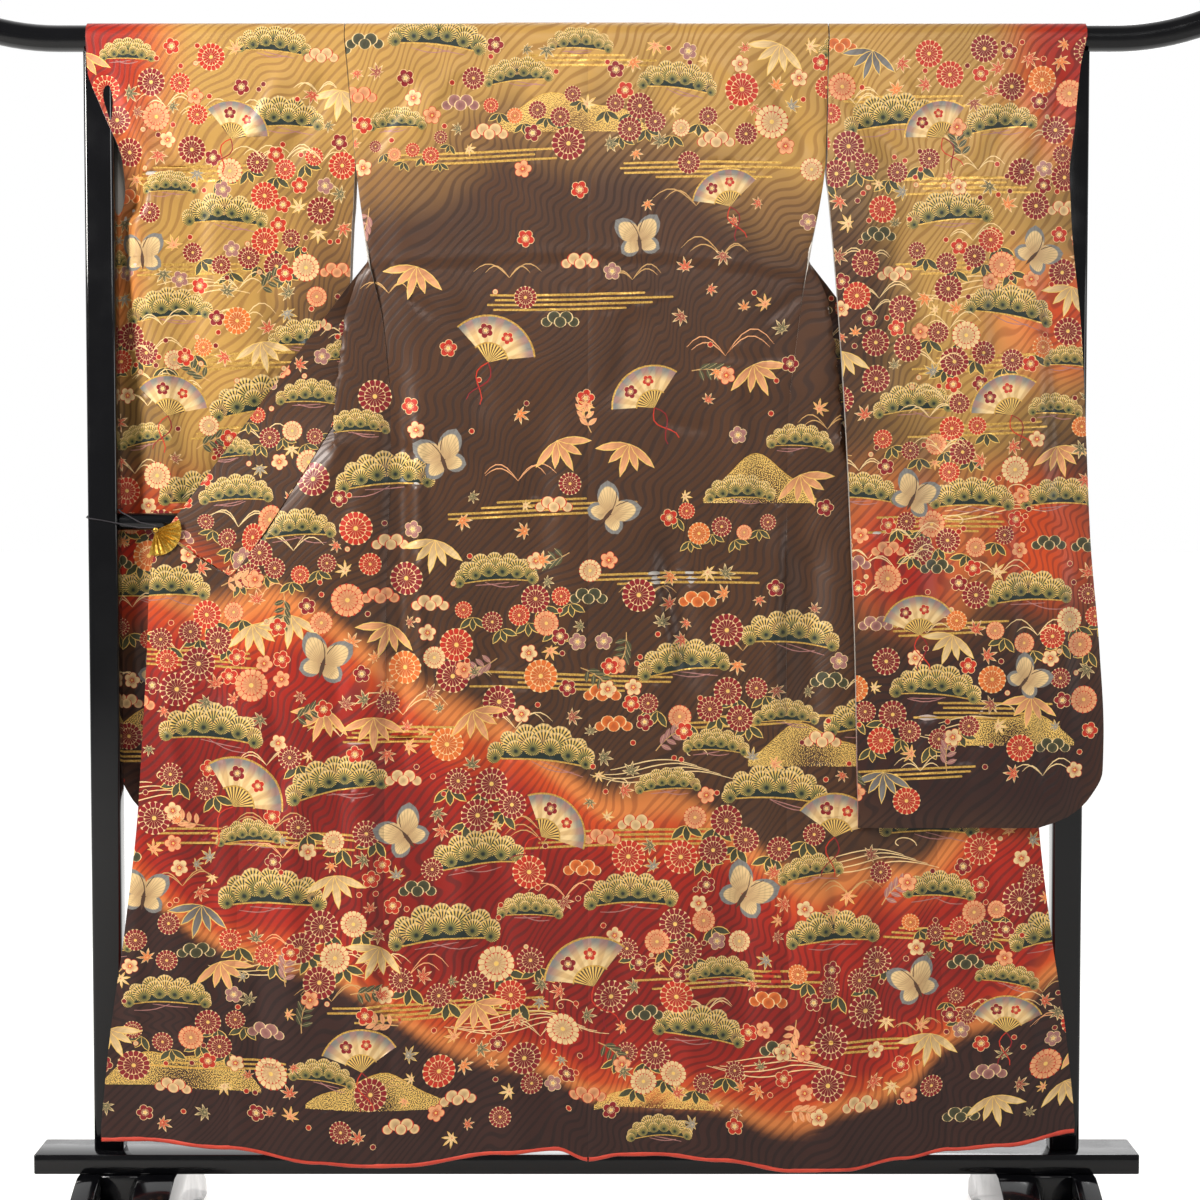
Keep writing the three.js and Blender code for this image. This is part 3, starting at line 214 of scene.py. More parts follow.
TUCK_SEAM = [(-268, 1318), (-200, 1322), (-120, 1325), (0, 1332), (110, 1326), (200, 1316), (290, 1304)]
UNDULATIONS = [  # x and z wave lengths, depth, phase of the cloth's slow unevenness
    (210, 1900, 1.5, 0.4), (137, 1250, 1.0, 2.1), (88, 700, 0.5, 4.0), (61, 940, 0.32, 1.2),
    (340, 520, 0.8, 5.2)]


def hem_height(x):
    i = np.clip(np.searchsorted(HEM_HEIGHT[:, 0], x, side="right") - 1, 0, len(HEM_HEIGHT) - 2)
    x0, z0 = HEM_HEIGHT[i, 0], HEM_HEIGHT[i, 1]
    x1, z1 = HEM_HEIGHT[i + 1, 0], HEM_HEIGHT[i + 1, 1]
    return lerp(z0, z1, smooth((x - x0) / (x1 - x0)))


def drawn_height(x, level):
    """A level's height after the lower rows are drawn in to the hem's curve."""
    bottom = hem_height(x) + 2 * HEM_ROLL["radius"] + HEM_ROLL["gap"]
    drawn = lerp(bottom, HEM_BLEND_TOP, (level - HEM_LEVEL) / (HEM_BLEND_TOP - HEM_LEVEL))
    return np.where(level >= HEM_BLEND_TOP, level, drawn)


def crease_depth(creases, x, z):
    depth = np.zeros_like(x)
    for x0, z0, x1, z1, width, amount, bow in creases:
        dx, dz = x1 - x0, z1 - z0
        length = math.hypot(dx, dz)
        along = ((x - x0) * dx + (z - z0) * dz) / length ** 2
        away = ((x - x0) * dz - (z - z0) * dx) / length
        away = away - bow * 4 * along * (1 - along)
        fade = smooth(along / CREASE_FADE) * smooth((1 - along) / CREASE_FADE)
        reach = width * np.where(away * (1 if bow < 0 else -1) > 0, STEEP_SIDE, SOFT_SIDE)
        depth += CREASE_RELIEF * amount * fade * np.exp(-((away / reach) ** 2))
    return depth


def slow_waves(x, z):
    """The cloth's slow unevenness, none of it near the rod."""
    depth = np.zeros_like(x)
    for wave_x, wave_z, amount, phase in UNDULATIONS:
        depth += amount * np.sin(2 * math.pi * (x / wave_x + z / wave_z) + phase)
    return depth * smooth((ROD["height"] - 30 - z) / 240)


def seam_groove(distance, depth=1.0, width=3.2):
    return depth * np.exp(-((distance / width) ** 2))


# ---------- surfaces: flat cloth (across, up) to its place on the rack ----------
ROW_STEP = 2.5
COLUMNS = 72
END_POINTS = 46


class Surface:
    """A grid of places over a panel's share across and its height coordinate up."""

    def __init__(self, name, places, up_start, left, right, direction, top=None, bottom=None):
        self.name = name
        self.places = places
        self.up_start = up_start
        self.up_end = up_start + ROW_STEP * (len(places) - 1)
        self.left, self.right = left, right
        self.direction = direction
        self.top = top or (lambda share: np.full_like(share, self.up_end))
        self.bottom = bottom or (lambda share: np.full_like(share, self.up_start))
        across = np.gradient(places, axis=1)
        up = np.gradient(places, axis=0)
        normals = direction * np.cross(across, up)
        self.normals = normals / np.maximum(np.linalg.norm(normals, axis=2, keepdims=True), 1e-9)

    def across(self, share, up):
        return lerp(self.left(up), self.right(up), share)

    def locate(self, flat):
        """Places and normals of flat points, both as arrays of rows."""
        up = flat[:, 1]
        left, right = self.left(up), self.right(up)
        share = np.clip((flat[:, 0] - left) / (right - left), 0, 1)
        row = np.clip((up - self.up_start) / ROW_STEP, 0, len(self.places) - 1.001)
        column = np.clip(share * (self.places.shape[1] - 1), 0, self.places.shape[1] - 1.001)
        i, j = row.astype(int), column.astype(int)
        s, t = (row - i)[:, None], (column - j)[:, None]

        def mix(grid):
            return lerp(lerp(grid[i, j], grid[i, j + 1], t), lerp(grid[i + 1, j], grid[i + 1, j + 1], t), s)
        return mix(self.places), mix(self.normals)

    def outline(self, step):
        """The panel's edge in flat coordinates, counter-clockwise."""
        rows = max(2, round((self.up_end - self.up_start) / step))
        shares = np.linspace(0, 1, END_POINTS)
        low, high = self.bottom(shares), self.top(shares)
        sides = [np.linspace(low[k], high[k], rows) for k in (0, -1)]
        points = [(self.across(np.array(s), np.array(u)), u) for s, u in zip(shares, low)]
        points += [(self.across(np.array(1.0), np.array(u)), u) for u in sides[1][1:]]
        points += [(self.across(np.array(s), np.array(u)), u) for s, u in list(zip(shares, high))[-2::-1]]
        points += [(self.across(np.array(0.0), np.array(u)), u) for u in sides[0][-2:0:-1]]
        points = np.array(points, float)
        return points if self.direction > 0 else points[::-1]

    def inner_points(self, step):
        """A staggered grid of flat points, clear of the edge."""
        found = []
        margin = 0.45 * step
        for k, up in enumerate(np.arange(self.up_start + margin, self.up_end - margin, step * 0.9)):
            first, last = (float(side(np.array(up))) for side in (self.left, self.right))
            a, b = sorted((first, last))
            count = max(2, round((b - a) / step))
            xs = np.linspace(a, b, count + 1)[:-1] + (b - a) / count * (0.25 + 0.5 * (k % 2))
            share = (xs - first) / (last - first)
            keep = (xs > a + margin) & (xs < b - margin)
            keep &= (up < self.top(share) - margin) & (up > self.bottom(share) + margin)
            found += [(x, up) for x in xs[keep]]
        return found


def rod_arc(x, up, facing, radius=DRAPE_RADIUS):
    """Places on the rod's rounded top, from its side (facing -1 towards the viewer) up."""
    angle = math.pi / 2 - (up - ROD["height"]) / radius
    return x, facing * radius * np.sin(angle), ROD["height"] + radius * np.cos(angle)


PANEL_TOP = ROD["height"] + DRAPE_RADIUS * (math.pi / 2) - DRAPE_TOP_GAP


def stack(x, y, z):
    return np.stack([x, y, z], axis=-1)


def grid_of(up_start, up_end):
    rows = int(math.ceil((up_end - up_start) / ROW_STEP)) + 1
    ups = up_start + ROW_STEP * np.arange(rows)
    return np.meshgrid(ups, np.linspace(0, 1, COLUMNS), indexing="ij")


def tuck_step(x, z):
    """The tuck sewn across the back: the cloth below it lies a little deeper."""
    line = np.interp(x, [p[0] for p in TUCK_SEAM], [p[1] for p in TUCK_SEAM])
    below = line - z
    sunk = 1.9 * smooth(below / 1.5) * np.exp(-np.maximum(below, 0) / 26)
    return sunk - 0.7 * np.exp(-((below + 5) / 6) ** 2)


def body_waves(x, z):
    return crease_depth(BODY_CREASES + WRINKLES, x, z) + slow_waves(x, z)


def back_surface(name):
    direction = SIDES[name]
    up, share = grid_of(HEM_LEVEL, PANEL_TOP)
    level = np.minimum(up, ROD["height"])
    inner = CENTRE_X + direction * SEAM_GAP / 2

    def outer(height):
        return BODY_EDGE.at(np.minimum(height, ROD["height"]))[name] - direction * SEAM_GAP / 2
    x = lerp(inner, outer(level), share)
    z = drawn_height(x, level)
    depth = BACK_DEPTH.at(z)
    y = lerp(depth["centre"], depth["edge"], smooth(share)) + body_waves(x, z) + tuck_step(x, z)
    y += seam_groove(np.abs(x - inner)) + seam_groove(np.abs(x - outer(level)))
    _, arc_y, arc_z = rod_arc(x, up, -1)
    over = up > ROD["height"]
    places = stack(x, np.where(over, arc_y, y), np.where(over, arc_z, z))
    return Surface("back_" + name, places, HEM_LEVEL, lambda u: np.full_like(u, inner), outer, direction)


def smooth_path(points, samples):
    """Centripetal curve through four points a row: points is rows x 4 x 2."""
    first = 2 * points[:, 0] - points[:, 1]
    last = 2 * points[:, 3] - points[:, 2]
    line = np.concatenate([first[:, None], points, last[:, None]], axis=1)
    out = []
    for t in np.linspace(0, 3, samples):
        k = min(int(t), 2)
        w = t - k
        p0, p1, p2, p3 = (line[:, k + n] for n in range(4))
        d0, d1, d2 = (np.maximum(np.sum((b - a) ** 2, axis=1) ** 0.25, 1e-4)[:, None]
                      for a, b in ((p0, p1), (p1, p2), (p2, p3)))
        m1 = ((p1 - p0) / d0 - (p2 - p0) / (d0 + d1) + (p2 - p1) / d1) * d1
        m2 = ((p2 - p1) / d1 - (p3 - p1) / (d1 + d2) + (p3 - p2) / d2) * d1
        out.append(p1 + w * (m1 + w * (3 * (p2 - p1) - 2 * m1 - m2 + w * (m1 + m2 - 2 * (p2 - p1)))))
    return np.stack(out, axis=1)


def front_path(row, edge_x):
    """The front's way round behind: each row in even steps of (x from the centre, y), and its width."""
    turns = [(edge_x, row["edge_y"])] + [(row[k + "_x"], row[k + "_y"]) for k in ("crease", "tuck", "join")]
    controls = np.stack([np.stack(pair, -1) for pair in turns], 1)
    last = controls[:, 3] - controls[:, 2]
    controls[:, 3] -= last / np.linalg.norm(last, axis=1, keepdims=True) * SEAM_GAP / 2
    path = smooth_path(controls, 121)
    steps = np.linalg.norm(np.diff(path, axis=1), axis=2)
    travel = np.concatenate([np.zeros((len(path), 1)), np.cumsum(steps, axis=1)], axis=1)
    width = travel[:, -1]
    shares = np.linspace(0, 1, COLUMNS)
    even = [[np.interp(shares * width[r], travel[r], path[r, :, c]) for r in range(len(path))]
            for c in (0, 1)]
    return np.stack(even, axis=-1), width


def front_surface(name):
    direction = SIDES[name]
    up, share = grid_of(HEM_LEVEL, PANEL_TOP)
    ups = up[:, 0]
    level = np.minimum(ups, ROD["height"])
    row = FRONT.at(level)
    edge_x = np.abs(BODY_EDGE.at(level)[name] - CENTRE_X) + row["edge_gap"]
    even, width = front_path(row, edge_x)
    x = CENTRE_X + direction * even[..., 0]
    levels = np.minimum(up, ROD["height"])
    z = drawn_height(x, levels)
    y = even[..., 1] + BACK_DEPTH.at(z)["edge"] - BACK_DEPTH.at(levels)["edge"]
    edge = BODY_EDGE.at(z)[name]
    near = np.exp(-((x - edge) / 40) ** 2) * smooth((1290 - z) / 60) * (share < 0.3) * (z < 1290)
    amount = np.maximum(smooth((FOLD_START - z) / 80), near)
    y = y + body_waves(x, z) * amount + slow_waves(share * 300, z) * (1 - amount) * 0.8
    grooves = seam_groove(share * width[:, None]) + seam_groove((1 - share) * width[:, None])
    y = y + grooves * smooth((1180 - z) / 60)
    _, arc_y, arc_z = rod_arc(x, up, 1)
    over = up > ROD["height"]
    places = stack(x, np.where(over, arc_y, y), np.where(over, arc_z, z))

    def left(height):
        return CENTRE_X + direction * np.interp(height, ups, edge_x)

    def right(height):
        return CENTRE_X + direction * np.interp(height, ups, edge_x + width)
    return Surface("front_" + name, places, HEM_LEVEL, left, right, direction)


def collar_rows(name):
    """The collar's seam and free edge, row by row, from the neck's middle to its lower end."""
    direction = SIDES[name]
    rows = []
    shares = np.linspace(0, 1, COLUMNS)
    for seam_x, degrees, free_x, free_y, free_z in NECK_ROWS:
        start = math.radians(degrees)
        arc = COLLAR_RADIUS * (math.pi / 2 - start)
        hang = math.hypot(free_y - COLLAR_RADIUS, ROD["height"] - free_z)
        travel = shares * (arc + hang)
        angle = start + np.minimum(travel, arc) / COLLAR_RADIUS
        down = np.clip((travel - arc) / hang, 0, 1)
        x = CENTRE_X + direction * lerp(seam_x, free_x, shares)
        y = np.where(travel < arc, COLLAR_RADIUS * np.sin(angle), lerp(COLLAR_RADIUS, free_y, down))
        z = np.where(travel < arc, ROD["height"] + COLLAR_RADIUS * np.cos(angle),
                     lerp(ROD["height"], free_z, down))
        rows.append(stack(x, y, z))
    for i, level in enumerate(COLLAR_LEVELS):
        row = FRONT.at(np.array(float(level)))
        low = COLLAR_END["seam"]
        free_z = level if level > 1000 else lerp(1000, COLLAR_END["free"], (1000 - level) / (1000 - low))
        edge = FREE_EDGE.at(np.array(float(free_z)))
        free = np.array([CENTRE_X + direction * edge["x"], edge["y"], free_z])
        if i < len(NECK_TURN):
            turn_x, turn_y, turn_z = NECK_TURN[i]
            free = np.array([CENTRE_X + direction * turn_x, turn_y, turn_z])
        seam = np.array([CENTRE_X + direction * row["join_x"], row["join_y"], level])
        tuck = np.array([CENTRE_X + direction * row["tuck_x"], row["tuck_y"], level])
        arriving = (seam - tuck) / np.linalg.norm(seam - tuck)
        leaving = (free - seam) / np.linalg.norm(free - seam)
        bend = np.linalg.norm(np.cross(arriving, leaving))
        seam = seam + leaving * (SEAM_GAP / 2 + WALL * 0.7 * bend)
        rows.append(lerp(seam, free, shares[:, None]))
    return np.array(rows)


def collar_surface(name):
    direction = SIDES[name]
    rows = collar_rows(name)[::-1]
    sideways = rows[:, -1] - rows[:, 0]
    sideways /= np.linalg.norm(sideways, axis=1, keepdims=True)
    stride = np.diff(rows[:, COLUMNS // 2], axis=0)
    drift = np.sum(stride * (sideways[1:] + sideways[:-1]) / 2, axis=1)
    rise = np.sqrt(np.maximum(np.sum(stride ** 2, axis=1) - drift ** 2, 0.01))
    travel = np.concatenate([[0], np.cumsum(rise)])
    shift = np.concatenate([[0], np.cumsum(drift)])
    ups = np.arange(0, travel[-1], ROW_STEP)
    even = np.stack([[np.interp(ups, travel, rows[:, k, c]) for k in range(COLUMNS)] for c in range(3)],
                    axis=-1)
    places = np.moveaxis(even, 1, 0)
    window = np.hanning(17)
    window /= window.sum()
    padded = np.pad(places, ((8, 8), (0, 0), (0, 0)), mode="reflect", reflect_type="odd")
    places = sum(w * padded[k:k + len(places)] for k, w in enumerate(window))
    places[..., 1] -= 1.4 * np.sin(math.pi * np.linspace(0, 1, COLUMNS)) * (places[..., 2] < 1240)
    widths = np.linalg.norm(np.diff(places, axis=1), axis=2).sum(axis=1)

    def left(u):
        return direction * (np.interp(u, travel, shift) - np.interp(u, ups, widths) / 2)

    def right(u):
        return direction * (np.interp(u, travel, shift) + np.interp(u, ups, widths) / 2)
    return Surface("collar_" + name, places, 0.0, left, right, direction)


def overlap_surface(name):
    direction = SIDES[name]
    high = COLLAR_END["free"] - SEAM_GAP
    low = COLLAR_END["seam"] - SEAM_GAP
    up, share = grid_of(HEM_LEVEL, high)

    def left(height):
        join = FRONT.at(np.minimum(height, COLLAR_END["seam"]))["join_x"]
        return CENTRE_X + direction * (join + SEAM_GAP / 2)

    def right(height):
        return CENTRE_X + direction * FREE_EDGE.at(height)["x"]
    x = lerp(left(up), right(up), share)
    z = drawn_height(x, up)
    y = lerp(FRONT.at(np.minimum(z, COLLAR_END["seam"]))["join_y"], FREE_EDGE.at(z)["y"], share)
    y = y + body_waves(x, z) * smooth((FOLD_START - z) / 80)
    y = y + seam_groove(np.abs(x - left(up)))
    return Surface("overlap_" + name, stack(x, y, z), HEM_LEVEL, left, right, direction,
                   top=lambda s: lerp(low, high, s))


SLEEVE_ARC = math.pi * DRAPE_RADIUS
EDGE_ROUND = 7.0


def sleeve_height(up):
    """The height above the floor of a sleeve's flat coordinate, front or rear."""
    rear = up > ROD["height"] + SLEEVE_ARC
    return np.where(rear, 2 * ROD["height"] + SLEEVE_ARC - up, np.minimum(up, ROD["height"]))


def sleeve_surface(name):
    direction = SIDES[name]
    sleeve = SLEEVES[name]
    bottom = SLEEVE_BOTTOM[name]
    up_end = 2 * ROD["height"] + SLEEVE_ARC - bottom
    up, share = grid_of(bottom, up_end)
    height = sleeve_height(up)
    rear = up > ROD["height"] + SLEEVE_ARC / 2

    def left(u):
        return direction * sleeve["rows"].at(sleeve_height(u))["inner"]

    def right(u):
        row = sleeve["rows"].at(sleeve_height(u))
        return direction * np.where(u > ROD["height"] + SLEEVE_ARC / 2, row["rear_x"], row["front_x"])
    row = sleeve["rows"].at(height)
    x = lerp(left(up), right(up), share)
    curl = smooth((share - sleeve["curl_start"]) / (sleeve["curl_end"] - sleeve["curl_start"]))
    front_y = lerp(row["front_y"], row["front_edge"], curl)
    rear_y = lerp(row["rear_y"], row["rear_edge"], curl)
    waves = crease_depth(SLEEVE_CREASES[name], x, height) + slow_waves(x * 1.1 + 40, height) * 0.8
    front_y = front_y + waves * smooth((1600 - height) / 60)
    rear_y = rear_y + 0.35 * waves * smooth((1560 - height) / 90)
    middle = (front_y + rear_y) / 2
    half = np.maximum((rear_y - front_y) / 2, 0.6)
    sewn = smooth((sleeve["cuff_end"] - height) / 14)
    to_edge = np.abs(x - right(up)) + (1 - sewn) * 100
    to_bottom = height - bottom
    distance = np.minimum(to_edge, to_bottom)
    lift = np.sqrt(np.clip(1 - (1 - np.clip(distance / EDGE_ROUND, 0, 1)) ** 2, 0, 1))
    closed = 0.6 + (half - 0.6) * lift
    y = np.where(rear, middle + closed, middle - closed)
    over = (up > ROD["height"]) & (up < ROD["height"] + SLEEVE_ARC)
    angle = (up - ROD["height"]) / DRAPE_RADIUS
    y = np.where(over, -DRAPE_RADIUS * np.cos(angle), y)
    z = np.where(over, ROD["height"] + DRAPE_RADIUS * np.sin(angle), height)
    return Surface("sleeve_" + name, stack(x, y, z), bottom, left, right, direction)


# ---------- printed motifs: flat shapes in paint order ----------
# The shader draws the lines inside a shape by its kind, in the shape's own turned and scaled axes.
PLAIN, PETAL, RIBBED, GILT, DUST, MUM, FIVE, LEAF, PLEAT, SCALLOP, WING = (float(n) for n in range(11))
INK = {
    "cream": linear(0.93, 0.80, 0.57), "peach": linear(0.93, 0.66, 0.45),
    "crimson": linear(0.55, 0.07, 0.11),
    "vermilion": linear(0.78, 0.18, 0.09), "orange": linear(0.89, 0.45, 0.17),
    "olive": linear(0.56, 0.53, 0.27),
    "green": linear(0.10, 0.15, 0.12), "moss": linear(0.30, 0.30, 0.19), "mauve": linear(0.66, 0.45, 0.42),
    "grey": linear(0.50, 0.49, 0.47), "gold": linear(0.93, 0.76, 0.40), "sand": linear(0.80, 0.62, 0.38),
    "brown": linear(0.33, 0.22, 0.15)}


def turned(points, x, y, angle):
    c, s = math.cos(angle), math.sin(angle)
    points = np.asarray(points, float)
    return np.stack([x + points[:, 0] * c - points[:, 1] * s, y + points[:, 0] * s + points[:, 1] * c],
                    axis=1)


def disc(radius, count, x=0.0, y=0.0, squash=1.0):
    angles = 2 * math.pi * np.arange(count) / count
    return np.stack([x + radius * np.cos(angles), y + radius * squash * np.sin(angles)], axis=1)


def spear(start, end, width, count=5, sharpness=0.8):
    """A leaf along +X, pointed at both ends."""
    t = np.linspace(0, 1, count)
    half = width / 2 * np.sin(math.pi * t) ** sharpness
    xs = lerp(start, end, t)
    return np.array(list(zip(xs, half)) + [(x, -h) for x, h in list(zip(xs, half))[-2:0:-1]])


def stroke(points, width, taper=0.0):
    """A brush line of a width along points; taper thins its ends."""
    points = np.asarray(points, float)
    along = np.gradient(points, axis=0)
    along /= np.maximum(np.linalg.norm(along, axis=1, keepdims=True), 1e-9)
    side = np.stack([-along[:, 1], along[:, 0]], axis=1)
    t = np.linspace(-1, 1, len(points))
    half = (width / 2 * (1 - taper * t ** 2))[:, None]
    cap = along[[0, -1]] * width * 0.3 * (1 - taper)
    first, last = points[:1] - cap[:1], points[-1:] + cap[1:]
    return np.concatenate([first, points + side * half, last, (points - side * half)[::-1]])


def counter_clockwise(points):
    """A closed outline without doubled points, turning left."""
    points = np.asarray(points, float)
    points = points[np.linalg.norm(points - np.roll(points, 1, axis=0), axis=1) > 1e-3]
    x, y = points[:, 0], points[:, 1]
    area = np.sum(x * np.roll(y, -1) - np.roll(x, -1) * y)
    return points if area > 0 else points[::-1]


class Print:
    """The shapes dyed on a cloth, in its flat millimetres; later ones cover earlier ones."""

    def __init__(self, seed):
        self.shapes = []
        self.chance = random.Random(seed)
        self.taken = []

    def fill(self, points, ink, kind=PLAIN, centre=(0.0, 0.0), angle=0.0, reach=1.0):
        self.shapes.append((counter_clockwise(points), INK[ink], kind, centre, angle, reach))

    def free(self, x, y, radius):
        return all((x - a) ** 2 + (y - b) ** 2 > (0.86 * (radius + r)) ** 2 for a, b, r in self.taken)

    def claim(self, x, y, radius):
        self.taken.append((x, y, radius))


def chrysanthemum(p, x, y, r, ink):
    turn = p.chance.uniform(0, 1)
    k = np.arange(32)
    scallop = np.where(k % 2 == 0, 0.95, 1.0)[:, None] * disc(r, 32)
    p.fill(turned(scallop, x, y, turn), ink, MUM, (x, y), turn, r)


def blossom(p, x, y, r, ink):
    turn = p.chance.uniform(0, 2)
    angles = np.linspace(0, 2 * math.pi, 30, endpoint=False)
    lobe = r * (0.74 + 0.26 * np.abs(np.cos(2.5 * angles)) ** 0.7)
    p.fill(turned(np.stack([lobe * np.cos(angles), lobe * np.sin(angles)], axis=1), x, y, turn), ink, FIVE,
           (x, y), turn, r)


MAPLE_LOBES = [0.52, 0.80, 0.96, 1.0, 0.96, 0.80, 0.52]
MAPLE_STEP = 47.0


def maple(p, x, y, r, ink):
    turn = p.chance.uniform(0, 6.28)
    rim = "cream" if ink not in ("cream", "peach", "grey") else "gold"
    for grow, shade, kind in ((1.0, rim, PLAIN), (0.84, ink, LEAF)):
        points = []
        for n, length in enumerate(MAPLE_LOBES):
            angle = math.radians(MAPLE_STEP * (n - 3))
            for spread, share in ((-11, 0.64), (0, 1.0), (11, 0.64)):
                a = angle + math.radians(spread * grow)
                out = grow * length * r * share
                points.append((out * math.cos(a), out * math.sin(a)))
            if n < len(MAPLE_LOBES) - 1:
                a = angle + math.radians(MAPLE_STEP / 2)
                points.append((0.28 * r * grow * math.cos(a), 0.28 * r * grow * math.sin(a)))
        points.append((-0.20 * r * grow, 0))
        p.fill(turned(points, x, y, turn), shade, kind, (x, y), turn, r)


def spear_leaves(p, x, y, r, ink, angles=(-62, -28, 4, 36, 66), width=0.2):
    """Bamboo leaves, spread from one joint and pointing down."""
    lean = p.chance.uniform(-0.5, 0.5) - math.pi / 2
    for n, degrees in enumerate(angles):
        angle = lean + math.radians(degrees)
        length = r * (1.0 - 0.18 * (n % 2))
        p.fill(turned(spear(0, length * 1.05, width * 1.3 * r), x, y, angle), "gold", PLAIN)
        p.fill(turned(spear(0.03 * r, length, width * r), x, y, angle), ink, PETAL, (x, y), angle, r)


def spray(p, x, y, r, ink, leaf="moss"):
    """A curved twig with paired leaves and a blossom at its end."""
    turn = p.chance.uniform(0, 6.28)
    t = np.linspace(0, 1, 6)
    line = np.stack([2 * r * t, 0.5 * r * np.sin(2.2 * t)], axis=1)
    p.fill(turned(stroke(line, 1.7, 0.3), x, y, turn), "sand")
    for n in range(1, 5):
        for side in (-1, 1):
            at = turned([line[n]], x, y, turn)[0]
            angle = turn + side * 0.85
            p.fill(turned(spear(0, 0.7 * r, 0.3 * r), at[0], at[1], angle), leaf, LEAF, tuple(at), angle,
                   0.7 * r)
    end = turned([line[-1]], x, y, turn)[0]
    blossom(p, end[0], end[1], 0.55 * r, ink)


CLOUD_RISE = 0.16
FAN_ROWS = [(5, 0.15, 1.0), (7, 0.06, 0.42), (6, 0.04, -0.05)]  # fans in a row, inset, height


def fan_cloud(p, x, y, width, lean=0.0):
    """A bank of overlapping ribbed fans over a dark green shadow, as on old wave patterns."""
    r = max(8.0, width * 0.105)

    def arch(t, drop=0.0):
        return (t - 0.5) * width, CLOUD_RISE * width * (1 - (2 * t - 1) ** 2) - drop
    ts = np.linspace(0, 1, 9)
    top = np.array([arch(t, -0.35 * r) for t in ts])
    low = np.array([arch(t, 1.25 * r * math.sin(math.pi * t) ** 0.7) for t in ts])
    shadow = np.concatenate([top, low[::-1][1:-1]])
    p.fill(turned(shadow * [1.04, 1.0] + [0, -0.16 * r], x, y, lean), "gold", GILT)
    p.fill(turned(shadow, x, y, lean), "green")
    for n, (count, inset, height) in enumerate(FAN_ROWS):
        for k in range(count):
            t = lerp(inset, 1 - inset, k / (count - 1)) + p.chance.uniform(-0.015, 0.015)
            cx, cy = arch(t, -height * r)
            cx, cy = turned([(cx, cy)], x, y, lean)[0]
            size = r * p.chance.uniform(0.95, 1.15) * (0.8 if k in (0, count - 1) else 1.0)
            if n == 2:
                size *= 0.82
            shade = p.chance.choice(["olive", "olive", "olive", "sand"]) if n < 2 else "olive"
            angle = lean + math.pi / 2 + (0.5 - t) * 1.5
            p.fill(disc(size, 11, cx, cy), shade, RIBBED, (cx - 0.35 * size * math.cos(angle),
                   cy - 0.35 * size * math.sin(angle)), angle, size * 1.3)
    for k in range(2):
        t0 = p.chance.uniform(0.1, 0.5)
        line = [arch(t0 + 0.42 * s, 1.5 * r + 0.35 * r * (k + 1) * math.sin(3 * s))
                for s in np.linspace(0, 1, 6)]
        p.fill(turned(stroke(line, 1.3, 0.4), x, y, lean), "mauve")


CLOUD_PUFFS = [(-0.34, 0.0, 0.8), (0.34, 0.0, 0.8), (-0.15, 0.12, 1.0), (0.15, 0.12, 1.0), (0, 0.0, 0.9)]


def small_cloud(p, x, y, width, ink):
    for across, up, size in CLOUD_PUFFS:
        r = width * 0.18 * size
        cx, cy = x + across * width, y + up * width
        p.fill(disc(r, 11, cx, cy, 0.85), ink, SCALLOP, (cx, cy), math.pi / 2, r)


def mist(p, x, y, length, lines=4, slope=0.0):
    """Horizontal gold bands with rounded ends."""
    for n in range(lines):
        start = x - length / 2 + p.chance.uniform(0, 0.28) * length
        end = x + length / 2 - p.chance.uniform(0, 0.28) * length
        xs = np.linspace(start, end, max(4, int((end - start) / 30)))
        ys = y + 6.4 * (n - lines / 2) + slope * (xs - x) + 3.2 * np.sin(xs / 95 + y)
        p.fill(stroke(np.stack([xs, ys], axis=1), 3.1, 0.12), "gold", GILT)


def grass(p, x, y, size, ink="cream"):
    for n in range(4):
        side = -1 if n % 2 else 1
        reach = size * p.chance.uniform(0.6, 1.1)
        t = np.linspace(0, 1, 7)
        line = np.stack([x + side * reach * t, y + reach * 0.55 * np.sin(2.7 * t) * (1 - 0.1 * n)], axis=1)
        p.fill(stroke(line, 1.5, 0.75), ink)


def stream(p, x, y, length):
    """Flowing water: side by side lines that end in a curl."""
    for n in range(4):
        xs = np.linspace(x - length / 2 + 9 * n, x + length / 2 - 16 * n, 18)
        ys = y + 5.2 * n + 7.5 * np.sin((xs - x) / 27 + 0.5 * n)
        p.fill(stroke(np.stack([xs, ys], axis=1), 1.5, 0.5), "cream")
    for cx, cy, flip in ((x - length * 0.28, y - 11, 1), (x + length * 0.22, y + 30, -1)):
        t = np.linspace(0.6, 1, 18)
        angle = 9.5 * t
        radius = 13 * (t - 0.48) / 0.52
        curl = np.stack([cx + radius * np.cos(angle) * flip * 1.5, cy + radius * np.sin(angle)], axis=1)
        p.fill(stroke(curl, 1.4, 0.3), "cream")


def arc_points(x, y, radius, middle, half_degrees, count):
    angles = middle + np.radians(np.linspace(-half_degrees, half_degrees, count))
    return np.stack([x + radius * np.cos(angles), y + radius * np.sin(angles)], axis=1)


